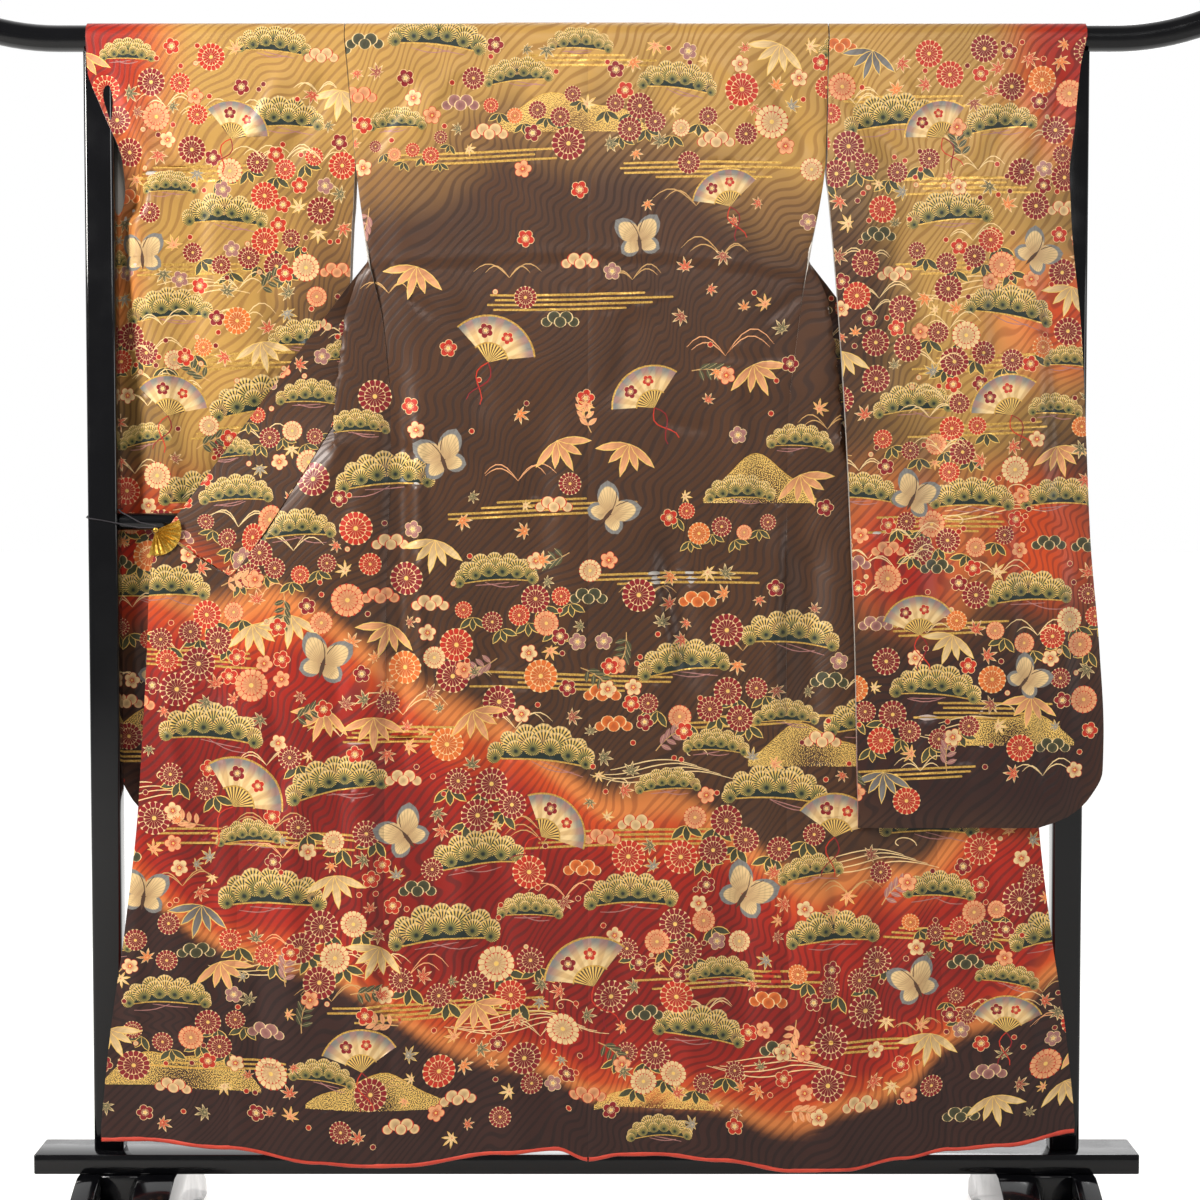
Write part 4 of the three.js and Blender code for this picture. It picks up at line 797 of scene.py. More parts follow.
def folding_fan(p, x, y, r, turn):
    """An open folding fan: pleated paper with a gilt rim on thin sticks."""
    near, far = arc_points(x, y, 0.42 * r, turn, 60, 8), arc_points(x, y, r, turn, 62, 15)
    p.fill(np.concatenate([[(x, y)], near]), "brown", PLEAT, (x, y), turn, r)
    p.fill(np.concatenate([near, far[::-1]]), "cream", PLEAT, (x, y), turn, r)
    for radius, width in ((1.0, 0.04), (0.42, 0.03)):
        p.fill(stroke(arc_points(x, y, radius * r, turn, 62, 15), width * r), "gold", GILT)
    for out, lean, size, tone in ((0.68, 0.45, 0.17, "crimson"), (0.66, -0.3, 0.14, "vermilion")):
        way = turn + lean
        blossom(p, x + out * r * math.cos(way), y + out * r * math.sin(way), size * r, tone)
    for tone, way in (("vermilion", 1), ("crimson", -1)):
        t = np.linspace(0, 1, 8)
        tail = np.stack([-0.9 * r * t, way * 0.16 * r * np.sin(5 * t)], axis=1)
        p.fill(turned(stroke(tail, 1.6, 0.2), x, y, turn), tone)


def butterfly(p, x, y, r, turn):
    for side in (-1, 1):
        for angle, length, width in ((side * 2.05, 0.68, 0.55), (side * 0.72, 1.0, 0.66)):
            wing = spear(0.04 * r, length * r, width * r, 8, 0.55)
            p.fill(turned(wing, x, y, turn + angle), "cream", WING, (x, y), turn + angle, length * r)
        t = np.linspace(0, 1, 6)
        feeler = np.stack([0.1 * r + 0.55 * r * t, side * 0.22 * r * t ** 2], axis=1)
        p.fill(turned(stroke(feeler, 1.2, 0.2), x, y, turn), "brown")
    p.fill(turned(spear(-0.42 * r, 0.24 * r, 0.12 * r), x, y, turn), "brown")


def dust_hill(p, x, y, width, height):
    t = np.linspace(0, 1, 20)
    ridge = np.stack([x + width * (t - 0.5), y + height * np.sin(math.pi * t) ** 0.8
                      * (0.82 + 0.18 * np.sin(9 * t + x))], axis=1)
    p.fill(np.concatenate([ridge, [(x + width / 2, y - 6), (x - width / 2, y - 6)]]), "gold", DUST,
           (x, y), math.pi / 2, height)
    p.fill(stroke(ridge[2:-2], 1.5, 0.4), "gold", GILT)


# ---------- laying the motifs out ----------
def pick(p, weights):
    names = list(weights)
    return p.chance.choices(names, [weights[n] for n in names])[0]


FLOWER_INKS = {"crimson": 8, "vermilion": 3, "peach": 1.2, "cream": 1.4, "orange": 0.8}
LEAF_INKS = {"vermilion": 3, "moss": 3, "peach": 1.5, "cream": 1.5, "grey": 1, "orange": 1.2, "crimson": 1}


BOUQUET_FLOWERS = [(58, -26, 20), (34, -50, 17), (74, -62, 19), (-6, -60, 15), (96, -22, 15), (-48, -42, 14)]


def bouquet(p, x, y, size, flip=1):
    """A fan cloud with a heap of flowers and leaves at its foot."""
    fan_cloud(p, x, y, 118 * size, flip * p.chance.uniform(-0.1, 0.22))
    p.claim(x - 24 * size, y + 4, 36 * size)
    p.claim(x + 24 * size, y + 4, 36 * size)
    heap = [(x + flip * dx * size, y + dy * size, r) for dx, dy, r in BOUQUET_FLOWERS]
    for fx, fy, r in heap:
        if p.free(fx, fy, r * 0.7):
            spear_leaves(p, fx + flip * 12, fy - 10, 24 * size, "moss", (-50, 0, 50), 0.34)
    for fx, fy, r in heap:
        if p.free(fx, fy, r * 0.7):
            chrysanthemum(p, fx, fy, r * size * p.chance.uniform(0.92, 1.08), pick(p, FLOWER_INKS))
            p.claim(fx, fy, r * size)


def hung_leaves(p, x, y, r, ink):
    spear_leaves(p, x, y + r * 0.7, r * 1.7, ink)


def twig(p, x, y, r, ink):
    spray(p, x, y, r, ink, pick(p, {"moss": 3, "peach": 1, "mauve": 1}))


def bud(p, x, y, r, ink):
    p.fill(disc(r, 8, x, y), ink, SCALLOP, (x, y), math.pi / 2, r)


SMALL_MOTIFS = {  # what draws it, its size to the room it takes, its inks
    "chrysanthemum": (chrysanthemum, 0.98, FLOWER_INKS),
    "blossom": (blossom, 1.0, {"crimson": 2, "vermilion": 4, "cream": 2, "peach": 1, "mauve": 1}),
    "maple": (maple, 1.12, LEAF_INKS),
    "spear": (hung_leaves, 1.0, {"cream": 3, "peach": 2, "grey": 1}),
    "cloud": (small_cloud, 2.2, {"cream": 3, "orange": 1, "moss": 2, "mauve": 1, "peach": 1}),
    "spray": (twig, 0.9, {"cream": 1, "peach": 2, "vermilion": 2}),
    "bud": (bud, 1.0, {"vermilion": 3, "crimson": 2, "cream": 1}),
}


def scatter(p, inside, density, rounds):
    """Small motifs put down one by one where there is room, fewer where density is low."""
    for kind, tries, radius in rounds:
        for _ in range(tries):
            x, y = inside(p.chance)
            if p.chance.random() > density(x, y) or not p.free(x, y, radius):
                continue
            p.claim(x, y, radius)
            if kind == "fan_cloud":
                fan_cloud(p, x, y, radius * 2.3, p.chance.uniform(-0.12, 0.2))
            else:
                draw, grow, inks = SMALL_MOTIFS[kind]
                draw(p, x, y, radius * grow, pick(p, inks))


BODY_BOUQUETS = [  # x, height, size, flip
    (-560, 880, 0.95, 1), (-500, 690, 1.1, 1), (-385, 960, 0.85, -1), (-330, 620, 1.1, 1),
    (-420, 470, 1.15, 1), (-120, 900, 0.9, 1), (-60, 660, 1.15, -1), (130, 780, 1.0, 1),
    (-190, 420, 1.2, 1), (60, 470, 1.0, 1), (250, 610, 1.1, -1), (330, 420, 1.0, 1), (150, 290, 1.0, -1),
    (-560, 330, 0.95, 1), (470, 480, 0.8, 1), (560, 360, 0.7, -1), (-90, 1560, 0.75, 1),
    (120, 1550, 0.85, -1), (-250, 1500, 0.6, 1), (205, 1010, 0.75, -1)]
BODY_MISTS = [
    (-20, 1275, 300, 4), (-60, 1000, 260, 4), (120, 905, 240, 3), (-520, 800, 230, 4), (-20, 770, 320, 4),
    (-260, 700, 220, 4), (230, 720, 250, 3), (-430, 560, 300, 4), (60, 560, 330, 4), (420, 600, 260, 4),
    (-200, 330, 340, 4), (520, 430, 260, 3), (190, 370, 280, 4), (360, 290, 240, 3), (-500, 250, 230, 3),
    (-140, 1465, 240, 3), (160, 1445, 260, 4), (0, 1590, 200, 3)]
BODY_FANS = [
    (-130, 1190, 62, 1.2), (90, 1130, 56, 2.1), (-470, 600, 66, 1.0), (10, 360, 66, 2.0),
    (330, 560, 58, 1.4), (-300, 250, 56, 1.7), (560, 290, 52, 1.5), (190, 1395, 50, 1.9),
    (-60, 560, 58, 0.8)]
BODY_BUTTERFLIES = [
    (-190, 1060, 46, 1.9), (30, 990, 44, 0.9), (-350, 790, 48, 1.3), (-240, 560, 46, 2.2),
    (210, 480, 50, 1.0), (440, 360, 44, 2.0), (-590, 480, 44, 1.4), (70, 1350, 42, 1.7)]
BODY_STREAMS = [
    (-400, 380, 210), (100, 640, 190), (380, 520, 180), (-80, 300, 220), (-590, 610, 120), (260, 250, 200)]
BODY_HILLS = [
    (-540, 215, 210, 60), (-280, 205, 190, 44), (230, 1010, 150, 60), (300, 660, 170, 54),
    (-20, 1500, 200, 50), (90, 200, 160, 30)]


def body_density(x, z):
    rise = float(np.interp(x, [-660, -300, -150, 0, 150, 300, 660], [1150, 1090, 1010, 990, 950, 880, 640]))
    low = float(smooth((rise - z) / 140))
    hem = float(smooth((z - hem_height(np.array(x)) - 20) / 150))
    high = 0.75 * float(smooth((z - 1440) / 60))
    return max(0.07, low * (0.25 + 0.75 * hem), high)


BODY_SEED = 11


def body_print():
    p = Print(BODY_SEED)
    for row in BODY_HILLS:
        dust_hill(p, *row)
    for x, z, length, lines in BODY_MISTS:
        mist(p, x, z, length, lines, p.chance.uniform(-0.03, 0.03))
    for row in BODY_STREAMS:
        stream(p, *row)
    for x, z, r, turn in BODY_FANS:
        p.claim(x + 0.6 * r * math.cos(turn), z + 0.6 * r * math.sin(turn), 0.72 * r)
    for x, z, r, turn in BODY_BUTTERFLIES:
        p.claim(x, z, r * 0.85)
    for _ in range(90):
        x, z = p.chance.uniform(-650, 650), p.chance.uniform(180, 1600)
        if p.chance.random() < 0.2 + body_density(x, z):
            grass(p, x, z, p.chance.uniform(34, 62), pick(p, {"cream": 3, "sand": 2, "peach": 1}))
    for row in BODY_BOUQUETS:
        bouquet(p, *row)
    scatter(p, lambda c: (c.uniform(-660, 660), c.uniform(150, 1610)), body_density, [
        ("fan_cloud", 60, 54), ("chrysanthemum", 230, 23), ("fan_cloud", 110, 36), ("cloud", 420, 24),
        ("spear", 300, 26), ("spray", 380, 25), ("chrysanthemum", 260, 15.5), ("maple", 1500, 13.5),
        ("blossom", 1800, 12), ("maple", 900, 10), ("bud", 900, 4)])
    for x, z, r, turn in BODY_FANS:
        folding_fan(p, x, z, r, turn)
    for x, z, r, turn in BODY_BUTTERFLIES:
        butterfly(p, x, z, r, turn)
    return p


def sleeve_density(x, z):
    return max(0.12, float(smooth((z - 620) / 120)) * 0.95)


def sleeve_layer(direction, chance_seed):
    """One layer of a sleeve's print, in X and height."""
    p = Print(chance_seed)
    chance = p.chance
    for k in range(9):
        z = 640 + 112 * k + chance.uniform(-25, 25)
        mist(p, direction * chance.uniform(430, 560), z, chance.uniform(150, 240), 3 + k % 2, 0.02)
    for k in range(3):
        stream(p, direction * chance.uniform(450, 540), 700 + 290 * k, 150)
    dust_hill(p, direction * 560, 690, 170, 44)
    fans = [(direction * 470, 1485, 50), (direction * 560, 1120, 54), (direction * 440, 830, 52)]
    moths = [(direction * 590, 1330, 40), (direction * 430, 1010, 42), (direction * 580, 770, 38)]
    for x, z, r in fans + moths:
        p.claim(x, z + 0.4 * r, r * 0.75)
    for k in range(7):
        x = direction * (390 + 200 * ((0.35 + 0.62 * k) % 1.0))
        bouquet(p, x, 750 + 125 * k, chance.uniform(0.85, 1.15), 1 if k % 2 else -1)
    for _ in range(26):
        grass(p, direction * chance.uniform(340, 640), chance.uniform(640, 1580), 40)
    scatter(p, lambda c: (direction * c.uniform(322, 668), c.uniform(600, 1612)), sleeve_density, [
        ("fan_cloud", 16, 42), ("chrysanthemum", 90, 19), ("fan_cloud", 30, 30), ("cloud", 110, 22),
        ("spear", 90, 24), ("spray", 130, 25), ("chrysanthemum", 60, 14), ("maple", 520, 14),
        ("blossom", 500, 11.5), ("maple", 240, 10), ("bud", 300, 4)])
    for x, z, r in fans:
        folding_fan(p, x, z, r, math.pi / 2 + chance.uniform(-0.5, 0.5))
    for x, z, r in moths:
        butterfly(p, x, z, r, chance.uniform(0.8, 2.2))
    return p.shapes


def sleeve_print(name, seed):
    """Front and rear of a sleeve in its own flat coordinates, both upright as they hang."""
    top = 2 * ROD["height"] + SLEEVE_ARC
    rear = []
    for points, ink, kind, (x, z), angle, reach in sleeve_layer(SIDES[name], seed + 1):
        rear.append((counter_clockwise(points * [1, -1] + [0, top]), ink, kind, (x, top - z), -angle, reach))
    return sleeve_layer(SIDES[name], seed) + rear


def collar_print(surface, seed):
    """Flowers and clouds on the lower half of the collar, in its own flat coordinates."""
    p = Print(seed)
    span = surface.up_end

    def spot(chance):
        up = chance.uniform(-0.01, 1.01) * span
        return float(surface.across(chance.uniform(-0.1, 1.1), up)), up
    for share, high in ((0.3, 0.06), (0.7, 0.20), (0.4, 0.36)):
        grass(p, float(surface.across(share, high * span)), high * span, 40)
    for share, high, size, flip in ((0.5, 0.10, 0.8, 1), (0.4, 0.26, 0.75, -1)):
        bouquet(p, float(surface.across(share, high * span)), high * span, size, flip)
    scatter(p, spot, lambda x, up: max(0.03, float(smooth((0.50 - up / span) / 0.18)),
                                       0.4 * float(smooth((up / span - 0.72) / 0.1))), [
                                           ("fan_cloud", 60, 28), ("chrysanthemum", 60, 17),
                                           ("cloud", 50, 20), ("maple", 160, 12.5), ("blossom", 200, 11.5),
                                           ("bud", 60, 4)])
    return p


# ---------- the ground's dyed shades ----------
BROWN = linear(0.315, 0.190, 0.100)
PLUM = linear(0.220, 0.105, 0.075)
GOLD = linear(0.745, 0.570, 0.285)
SAND = linear(0.560, 0.400, 0.210)
PEACH = linear(0.870, 0.510, 0.250)
ORANGE = linear(0.800, 0.285, 0.090)
VERMILION = linear(0.670, 0.130, 0.045)
RED = linear(0.560, 0.085, 0.035)
RED_TOP = np.array([
    (-660, 930), (-480, 880), (-300, 800), (-190, 745), (-90, 700), (20, 610), (150, 560), (300, 520),
    (420, 520), (620, 610)], float)
RED_FOOT = np.array([
    (-660, 560), (-520, 440), (-330, 350), (-190, 300), (-40, 235), (120, 185), (300, 200), (420, 240),
    (540, 300), (660, 380)], float)
GOLD_FOOT = np.array([
    (-330, 1400), (-230, 1440), (-110, 1520), (20, 1500), (140, 1450), (230, 1400), (330, 1385)], float)
RED_RAMP = [(-1.0, None), (-0.35, None), (0.05, PEACH), (0.35, ORANGE), (0.8, VERMILION), (1.8, RED)]


def ramp(t, stops, ground):
    """Colours between stops along t; a stop without one keeps the ground."""
    places = np.array([s[0] for s in stops])
    tones = np.stack([np.broadcast_to(ground if s[1] is None else s[1], ground.shape) for s in stops])
    i = np.clip(np.searchsorted(places, t, side="right") - 1, 0, len(places) - 2)
    share = smooth((t - places[i]) / (places[i + 1] - places[i]))[..., None]
    rows = np.arange(len(t))
    return lerp(tones[i, rows], tones[i + 1, rows], share)


def body_ground(flat):
    x, z = flat[:, 0], flat[:, 1]
    wobble = 22 * np.sin(x / 74) + 14 * np.sin(x / 31 + z / 60)
    hem_line = np.interp(x, RED_FOOT[:, 0], RED_FOOT[:, 1]) + wobble * 0.6
    ground = np.broadcast_to(BROWN, (len(x), 3)).copy()
    ground = lerp(ground, np.array(PLUM), smooth((hem_line + 260 - z) / 200)[:, None])
    into_red = np.minimum((np.interp(x, RED_TOP[:, 0], RED_TOP[:, 1]) + wobble - z) / 95,
                          (z - hem_line) / 60)
    ground = ramp(into_red, RED_RAMP, ground)
    gold_line = np.interp(x, GOLD_FOOT[:, 0], GOLD_FOOT[:, 1]) + 0.6 * wobble
    into_gold = (z - gold_line) / 70
    return ramp(into_gold, [(-1.2, None), (0.0, SAND), (0.9, GOLD), (3.0, GOLD)], ground)


SLEEVE_SHADES = {  # centre out from the middle, height, radii, softness, colour
    "left": [
        (470, 1260, 230, 330, 0.75, GOLD), (640, 1560, 130, 190, 0.9, ORANGE),
        (665, 1600, 95, 150, 0.8, VERMILION), (640, 1330, 60, 200, 0.9, PEACH),
        (340, 1290, 90, 150, 0.9, SAND), (330, 1150, 120, 190, 0.9, BROWN),
        (600, 940, 170, 130, 0.9, ORANGE), (640, 920, 100, 110, 0.9, VERMILION),
        (450, 720, 260, 170, 0.7, PLUM)],
    "right": [
        (500, 1300, 230, 330, 0.75, GOLD), (640, 1570, 120, 170, 0.9, ORANGE),
        (665, 1600, 95, 130, 0.8, VERMILION), (345, 1240, 110, 260, 0.9, BROWN),
        (600, 1240, 110, 120, 0.9, PEACH), (640, 1250, 70, 90, 0.9, ORANGE),
        (430, 950, 150, 150, 0.9, PEACH), (420, 930, 110, 120, 0.9, VERMILION),
        (600, 960, 110, 130, 0.9, ORANGE), (520, 690, 300, 170, 0.7, PLUM)],
}


def sleeve_ground(name):
    def shade(flat):
        x, z = np.abs(flat[:, 0]), sleeve_height(flat[:, 1])
        ground = np.broadcast_to(BROWN, (len(x), 3)).copy()
        top = smooth((z - 1380) / 120)[:, None]
        ground = lerp(ground, np.array(GOLD), top)
        for cx, cz, rx, rz, soft, colour in SLEEVE_SHADES[name]:
            q = np.sqrt(((x - cx) / rx) ** 2 + ((z - cz) / rz) ** 2) + 0.07 * np.sin(x / 34 + z / 52)
            ground = lerp(ground, np.array(colour), smooth((1.1 - q) / soft)[:, None])
        return ground
    return shade


COLLAR_GOLD = 470.0


def collar_ground(flat):
    """Brown along the body, orange at the lower end and gold round the neck."""
    up = flat[:, 1]
    ground = np.broadcast_to(BROWN, (len(up), 3)).copy()
    ground = lerp(ground, np.array(GOLD), smooth((up - COLLAR_GOLD) / 120)[:, None])
    return lerp(ground, np.array(ORANGE), smooth((40 - up) / 70)[:, None])


# ---------- shader helpers ----------
class Shader:
    """A material's node tree, with short calls to add and join nodes."""

    def __init__(self, name, **constants):
        self.material = bpy.data.materials.new(name)
        self.material.use_nodes = True
        self.tree = self.material.node_tree
        self.bsdf = self.tree.nodes["Principled BSDF"]
        for key, value in constants.items():
            self.bsdf.inputs[key.replace("_", " ").title().replace("Ior", "IOR")].default_value = value

    def node(self, kind, inputs=None, **settings):
        node = self.tree.nodes.new("ShaderNode" + kind)
        for key, value in settings.items():
            setattr(node, key, value)
        for key, value in (inputs or {}).items():
            self.join(value, node.inputs[key])
        return node

    def join(self, value, socket):
        if isinstance(value, bpy.types.NodeSocket):
            self.tree.links.new(value, socket)
        else:
            socket.default_value = value

    def math(self, operation, a, b=0.0):
        return self.node("Math", {0: a, 1: b}, operation=operation).outputs[0]

    def times(self, a, b):
        return self.math("MULTIPLY", a, b)

    def plus(self, a, b):
        return self.math("ADD", a, b)

    def minus(self, a, b):
        return self.math("SUBTRACT", a, b)

    def position(self):
        return self.node("NewGeometry").outputs["Position"]

    def step(self, value, low, high, out_low=0.0, out_high=1.0):
        return self.node("MapRange", {0: value, 1: low, 2: high, 3: out_low, 4: out_high},
                         interpolation_type="SMOOTHSTEP").outputs[0]

    def mix(self, factor, a, b, blend="MIX"):
        node = self.node("Mix", data_type="RGBA", blend_type=blend)
        for value, index in ((factor, 0), (a, 6), (b, 7)):
            self.join(value if not isinstance(value, tuple) else (*value[:3], 1.0), node.inputs[index])
        return node.outputs[2]

    def attribute(self, name):
        return self.node("Attribute", attribute_name=name, attribute_type="GEOMETRY")

    def noise(self, vector, scale, detail=2.0):
        return self.node("TexNoise", {"Vector": vector, "Scale": scale, "Detail": detail}).outputs["Fac"]

    def bump(self, height, strength, distance):
        return self.node("Bump", {"Height": height, "Strength": strength,
                                  "Distance": distance}).outputs["Normal"]

    def finish(self, **links):
        for key, value in links.items():
            self.join(value, self.bsdf.inputs[key.replace("_", " ").title()])
        return self.material


# The weave's raised lines in metres: their slant, how far apart they run and how they sway.
LINE_SLANT = (0.80, 0.60)
LINE_PITCH = 0.0105
LINE_SWAY = 0.11
RIPPLE = {"length": 0.16, "depth": 0.0055}


def woven_lines(s, flat):
    """The jacquard's fine lines, running slantwise and swaying like ripples in sand."""
    bend = s.noise(flat, 4.4, 0.0)
    x, z, _ = s.node("SeparateXYZ", {0: flat}).outputs
    run, rise = LINE_SLANT
    across = s.minus(s.times(x, run), s.times(z, rise))
    along = s.plus(s.times(x, rise), s.times(z, run))
    ripple = s.math("SINE", s.times(s.plus(along, bend), 2 * math.pi / RIPPLE["length"]))
    across = s.plus(across, s.times(bend, LINE_SWAY))
    across = s.plus(across, s.times(ripple, RIPPLE["depth"]))
    wave = s.math("SINE", s.times(across, 2 * math.pi / LINE_PITCH))
    return s.step(wave, 0.05, 0.85)


class Drawing(Shader):
    """The silk's shader, with the parts that the drawing inside a motif is made of."""

    def read_figure(self):
        figure = self.attribute("figure").outputs["Vector"]
        self.across, self.up, self.kind = self.node("SeparateXYZ", {0: figure}).outputs
        self.reach = self.math("SQRT", self.plus(self.square(self.across), self.square(self.up)))
        self.turn = self.math("ARCTAN2", self.up, self.across)
        self.ink = self.attribute("ink").outputs

    def is_kind(self, value):
        return self.node("Math", {0: self.kind, 1: value, 2: 0.3}, operation="COMPARE").outputs[0]

    def darker(self, tone, amount=(0.42, 0.30, 0.26)):
        return self.mix(1.0, tone, amount, "MULTIPLY")

    def square(self, value):
        return self.times(value, value)

    def within(self, radius):
        return self.math("LESS_THAN", self.reach, radius)

    def cell(self, count, offset=0.0):
        """How far a point lies across its one of count equal cells round the middle, 0 in and 1 out."""
        turns = self.plus(self.times(self.turn, count / (2 * math.pi)), offset + 10.0)
        return self.times(self.math("ABSOLUTE", self.minus(self.math("FRACT", turns), 0.5)), 2.0)

    def petal_ring(self, offset, rounded_from, tip, count=16):
        """1 inside a ring of round-tipped petals, 0 on the lines between them."""
        beyond = self.math("MAXIMUM", self.minus(self.reach, rounded_from), 0.0)
        beyond = self.math("DIVIDE", beyond, tip - rounded_from)
        return self.step(self.plus(self.square(self.cell(count, offset)), self.square(beyond)), 0.74, 0.90,
                         1.0, 0.0)


def chrysanthemum_tone(s, colour, pale):
    """Two rings of petals and a gold heart."""
    outer = s.times(s.petal_ring(0.5, 0.84, 0.99), s.math("GREATER_THAN", s.reach, 0.62))
    petals = s.math("MAXIMUM", outer, s.petal_ring(0.0, 0.46, 0.62))
    tone = s.mix(petals, pale, s.mix(s.step(s.reach, 0.1, 1.0, 0.55, 0.05), colour, s.darker(colour)))
    return s.mix(s.within(0.13), tone, INK["gold"])


def blossom_tone(s, colour, pale):
    """Five round petals, each a circle of radius near 0.36 about a point 0.58 out, and their stamens."""
    along = s.times(s.reach, s.math("COSINE", s.times(s.cell(5, 0.5), math.pi / 5)))
    lobe = s.plus(s.square(s.reach), s.minus(0.58 ** 2, s.times(along, 2 * 0.58)))
    tone = s.mix(s.step(s.reach, 0.1, 0.9, 0.5, 0.0), colour, s.darker(colour))
    tone = s.mix(s.step(lobe, 0.115, 0.15), tone, pale)
    tone = s.mix(s.times(s.step(s.cell(15), 0.55, 0.85), s.within(0.46)), tone, pale)
    return s.mix(s.within(0.14), tone, INK["gold"])


def leaf_tone(s, colour, pale):
    """A maple leaf, a pale vein along each lobe."""
    veins = s.math("ABSOLUTE", s.math("SINE", s.times(s.turn, 180.0 / MAPLE_STEP)))
    return s.mix(s.step(s.times(veins, s.reach), 0.02, 0.07, 0.75, 0.0), colour, pale)


def pleat_tone(s, colour):
    """A folding fan: thin sticks near its rivet and pleated paper beyond."""
    sticks = s.times(s.step(s.cell(34), 0.35, 0.6), s.within(0.42))
    pleats = s.step(s.math("SINE", s.times(s.turn, 17.0)), -0.5, 0.5, 0.0, 0.6)
    band = s.step(s.reach, 0.62, 0.95)
    paper = s.mix(pleats, s.mix(band, colour, INK["grey"]), s.mix(band, INK["sand"], INK["mauve"]))
    return s.mix(s.within(0.42), paper, s.mix(sticks, INK["brown"], INK["gold"]))


def wing_tone(s, petal, veins):
    edge = s.step(s.plus(s.square(s.across), s.times(s.square(s.up), 5.0)), 0.62, 0.70)
    return s.mix(veins, s.mix(edge, petal, INK["grey"]), INK["brown"])


def ribbed_tone(s, colour):
    """One fan of a bank of clouds: ribs over dark green and a pale rim."""
    ribs = s.times(s.step(s.math("SINE", s.times(s.turn, 22.0)), -0.55, 0.35), s.step(s.reach, 0.08, 0.30))
    tone = s.mix(ribs, INK["green"], s.mix(s.step(s.reach, 0.2, 0.9), colour, INK["gold"]))
    return s.mix(s.times(s.step(s.reach, 0.80, 0.90), 0.55), tone, INK["cream"])


def motif_tones(s, flat):
    """Each kind of shape's colour."""
    colour = s.ink["Color"]
    pale = s.mix(s.step(s.node("RGBToBW", {0: colour}).outputs[0], 0.30, 0.42), INK["cream"],
                 INK["vermilion"])
    veins = s.step(s.math("SINE", s.times(s.turn, 46.0)), 0.5, 0.95, 0.0, 0.22)
    petal = s.mix(s.step(s.reach, 0.1, 0.95, 0.62, 0.0), colour, s.darker(colour))
    petal = s.mix(veins, petal, s.darker(petal, (0.55, 0.45, 0.40)))
    leaf_noise = s.step(s.noise(flat, 420.0, 1.0), 0.35, 0.65)
    return {
        PETAL: petal, MUM: chrysanthemum_tone(s, colour, pale), FIVE: blossom_tone(s, colour, pale),
        LEAF: leaf_tone(s, colour, pale), PLEAT: pleat_tone(s, colour), WING: wing_tone(s, petal, veins),
        SCALLOP: s.mix(s.step(s.reach, 0.76, 0.84), petal, pale), RIBBED: ribbed_tone(s, colour),
        GILT: s.mix(leaf_noise, linear(0.80, 0.60, 0.28), INK["gold"])}


def ground_with_line_shade(s, flat, lines):
    """The dyed shades, clouded a little, with painted shade darkening the weave's recessed lines, deeper on
    light grounds.
    """
    cloud = s.step(s.noise(flat, 9.0, 1.0), 0.3, 0.7, 0.0, 0.16)
    tone = s.mix(cloud, s.attribute("ground").outputs["Color"], (0.0, 0.0, 0.0))
    # light_ground and shadow set how far painted shade darkens the weave's recessed lines
    light_ground = s.step(s.node("RGBToBW", {0: tone}).outputs[0], 0.05, 0.30)
    shadow = s.mix(light_ground, (0.34, 0.28, 0.25), (0.60, 0.50, 0.40))
    return s.mix(s.times(lines, 0.72), tone, s.mix(1.0, tone, shadow, "MULTIPLY"))


def silk_colour(s, flat, lines):
    ground = ground_with_line_shade(s, flat, lines)
    colour = s.ink["Color"]
    for kind, tone in motif_tones(s, flat).items():
        colour = s.mix(s.is_kind(kind), colour, tone)
    # painted shade: the print is darkened along the weave's recessed lines too
    colour = s.mix(s.times(lines, 0.16), colour, s.darker(colour, (0.4, 0.3, 0.25)))
    edge = s.minus(0.64, s.times(s.step(s.reach, 0.0, 1.0), 0.17))
    dust = s.math("GREATER_THAN", s.noise(flat, 760.0, 0.0), edge)
    colour = s.mix(s.is_kind(DUST), colour, s.mix(dust, ground, INK["gold"]))
    return s.mix(s.ink["Alpha"], ground, colour)


def silk_material():
    """Figured satin: a raised weave over the dyed ground, and the print, gilt where it is gold leaf."""
    s = Drawing("silk_print", roughness=0.42, sheen_weight=0.04, sheen_roughness=0.35,
                specular_ior_level=0.5)
    s.read_figure()
    flat = s.attribute("flat").outputs["Vector"]
    lines = woven_lines(s, flat)
    gilt = s.is_kind(GILT)
    rough = s.minus(s.plus(0.40, s.times(lines, 0.14)), s.times(gilt, 0.06))
    relief = s.plus(s.times(lines, -0.55), s.times(s.ink["Alpha"], 0.35))
    return s.finish(base_color=silk_colour(s, flat, lines), metallic=s.times(gilt, 0.55), roughness=rough,
                    normal=s.bump(relief, 0.16, 0.0012))


def lining_material():
    """Pale inner silk that turns vermilion towards the hem."""
    s = Shader("silk_lining", roughness=0.5, sheen_weight=0.3, sheen_roughness=0.4)
    flat = s.attribute("flat").outputs["Vector"]
    place = s.position()
    height = s.node("SeparateXYZ", {0: place}).outputs[2]
    weave = s.noise(s.node("Mapping", {"Vector": flat, "Scale": (1500.0, 700.0, 1.0)}).outputs[0], 1.0, 1.0)
    cloud = s.noise(flat, 14.0, 3.0)
    pale = s.mix(s.step(cloud, 0.2, 0.8), linear(0.72, 0.69, 0.65), linear(0.76, 0.73, 0.69))
    low = s.plus(height, s.times(cloud, 0.03))
    colour = s.mix(s.step(low, 0.46, 0.82, 1.0, 0.0), pale, linear(0.76, 0.21, 0.12))
    return s.finish(base_color=colour, normal=s.bump(weave, 0.12, 0.0004))


def hem_material():
    s = Shader("hem_piping", roughness=0.45, sheen_weight=0.3)
    place = s.position()
    tone = s.noise(place, 60.0, 2.0)
    colour = s.mix(tone, linear(0.66, 0.14, 0.08), linear(0.86, 0.28, 0.16))
    thread = s.noise(s.node("Mapping", {"Vector": place, "Scale": (2400.0, 2400.0, 300.0)}).outputs[0], 1.0)
    return s.finish(base_color=colour, normal=s.bump(thread, 0.2, 0.0004))


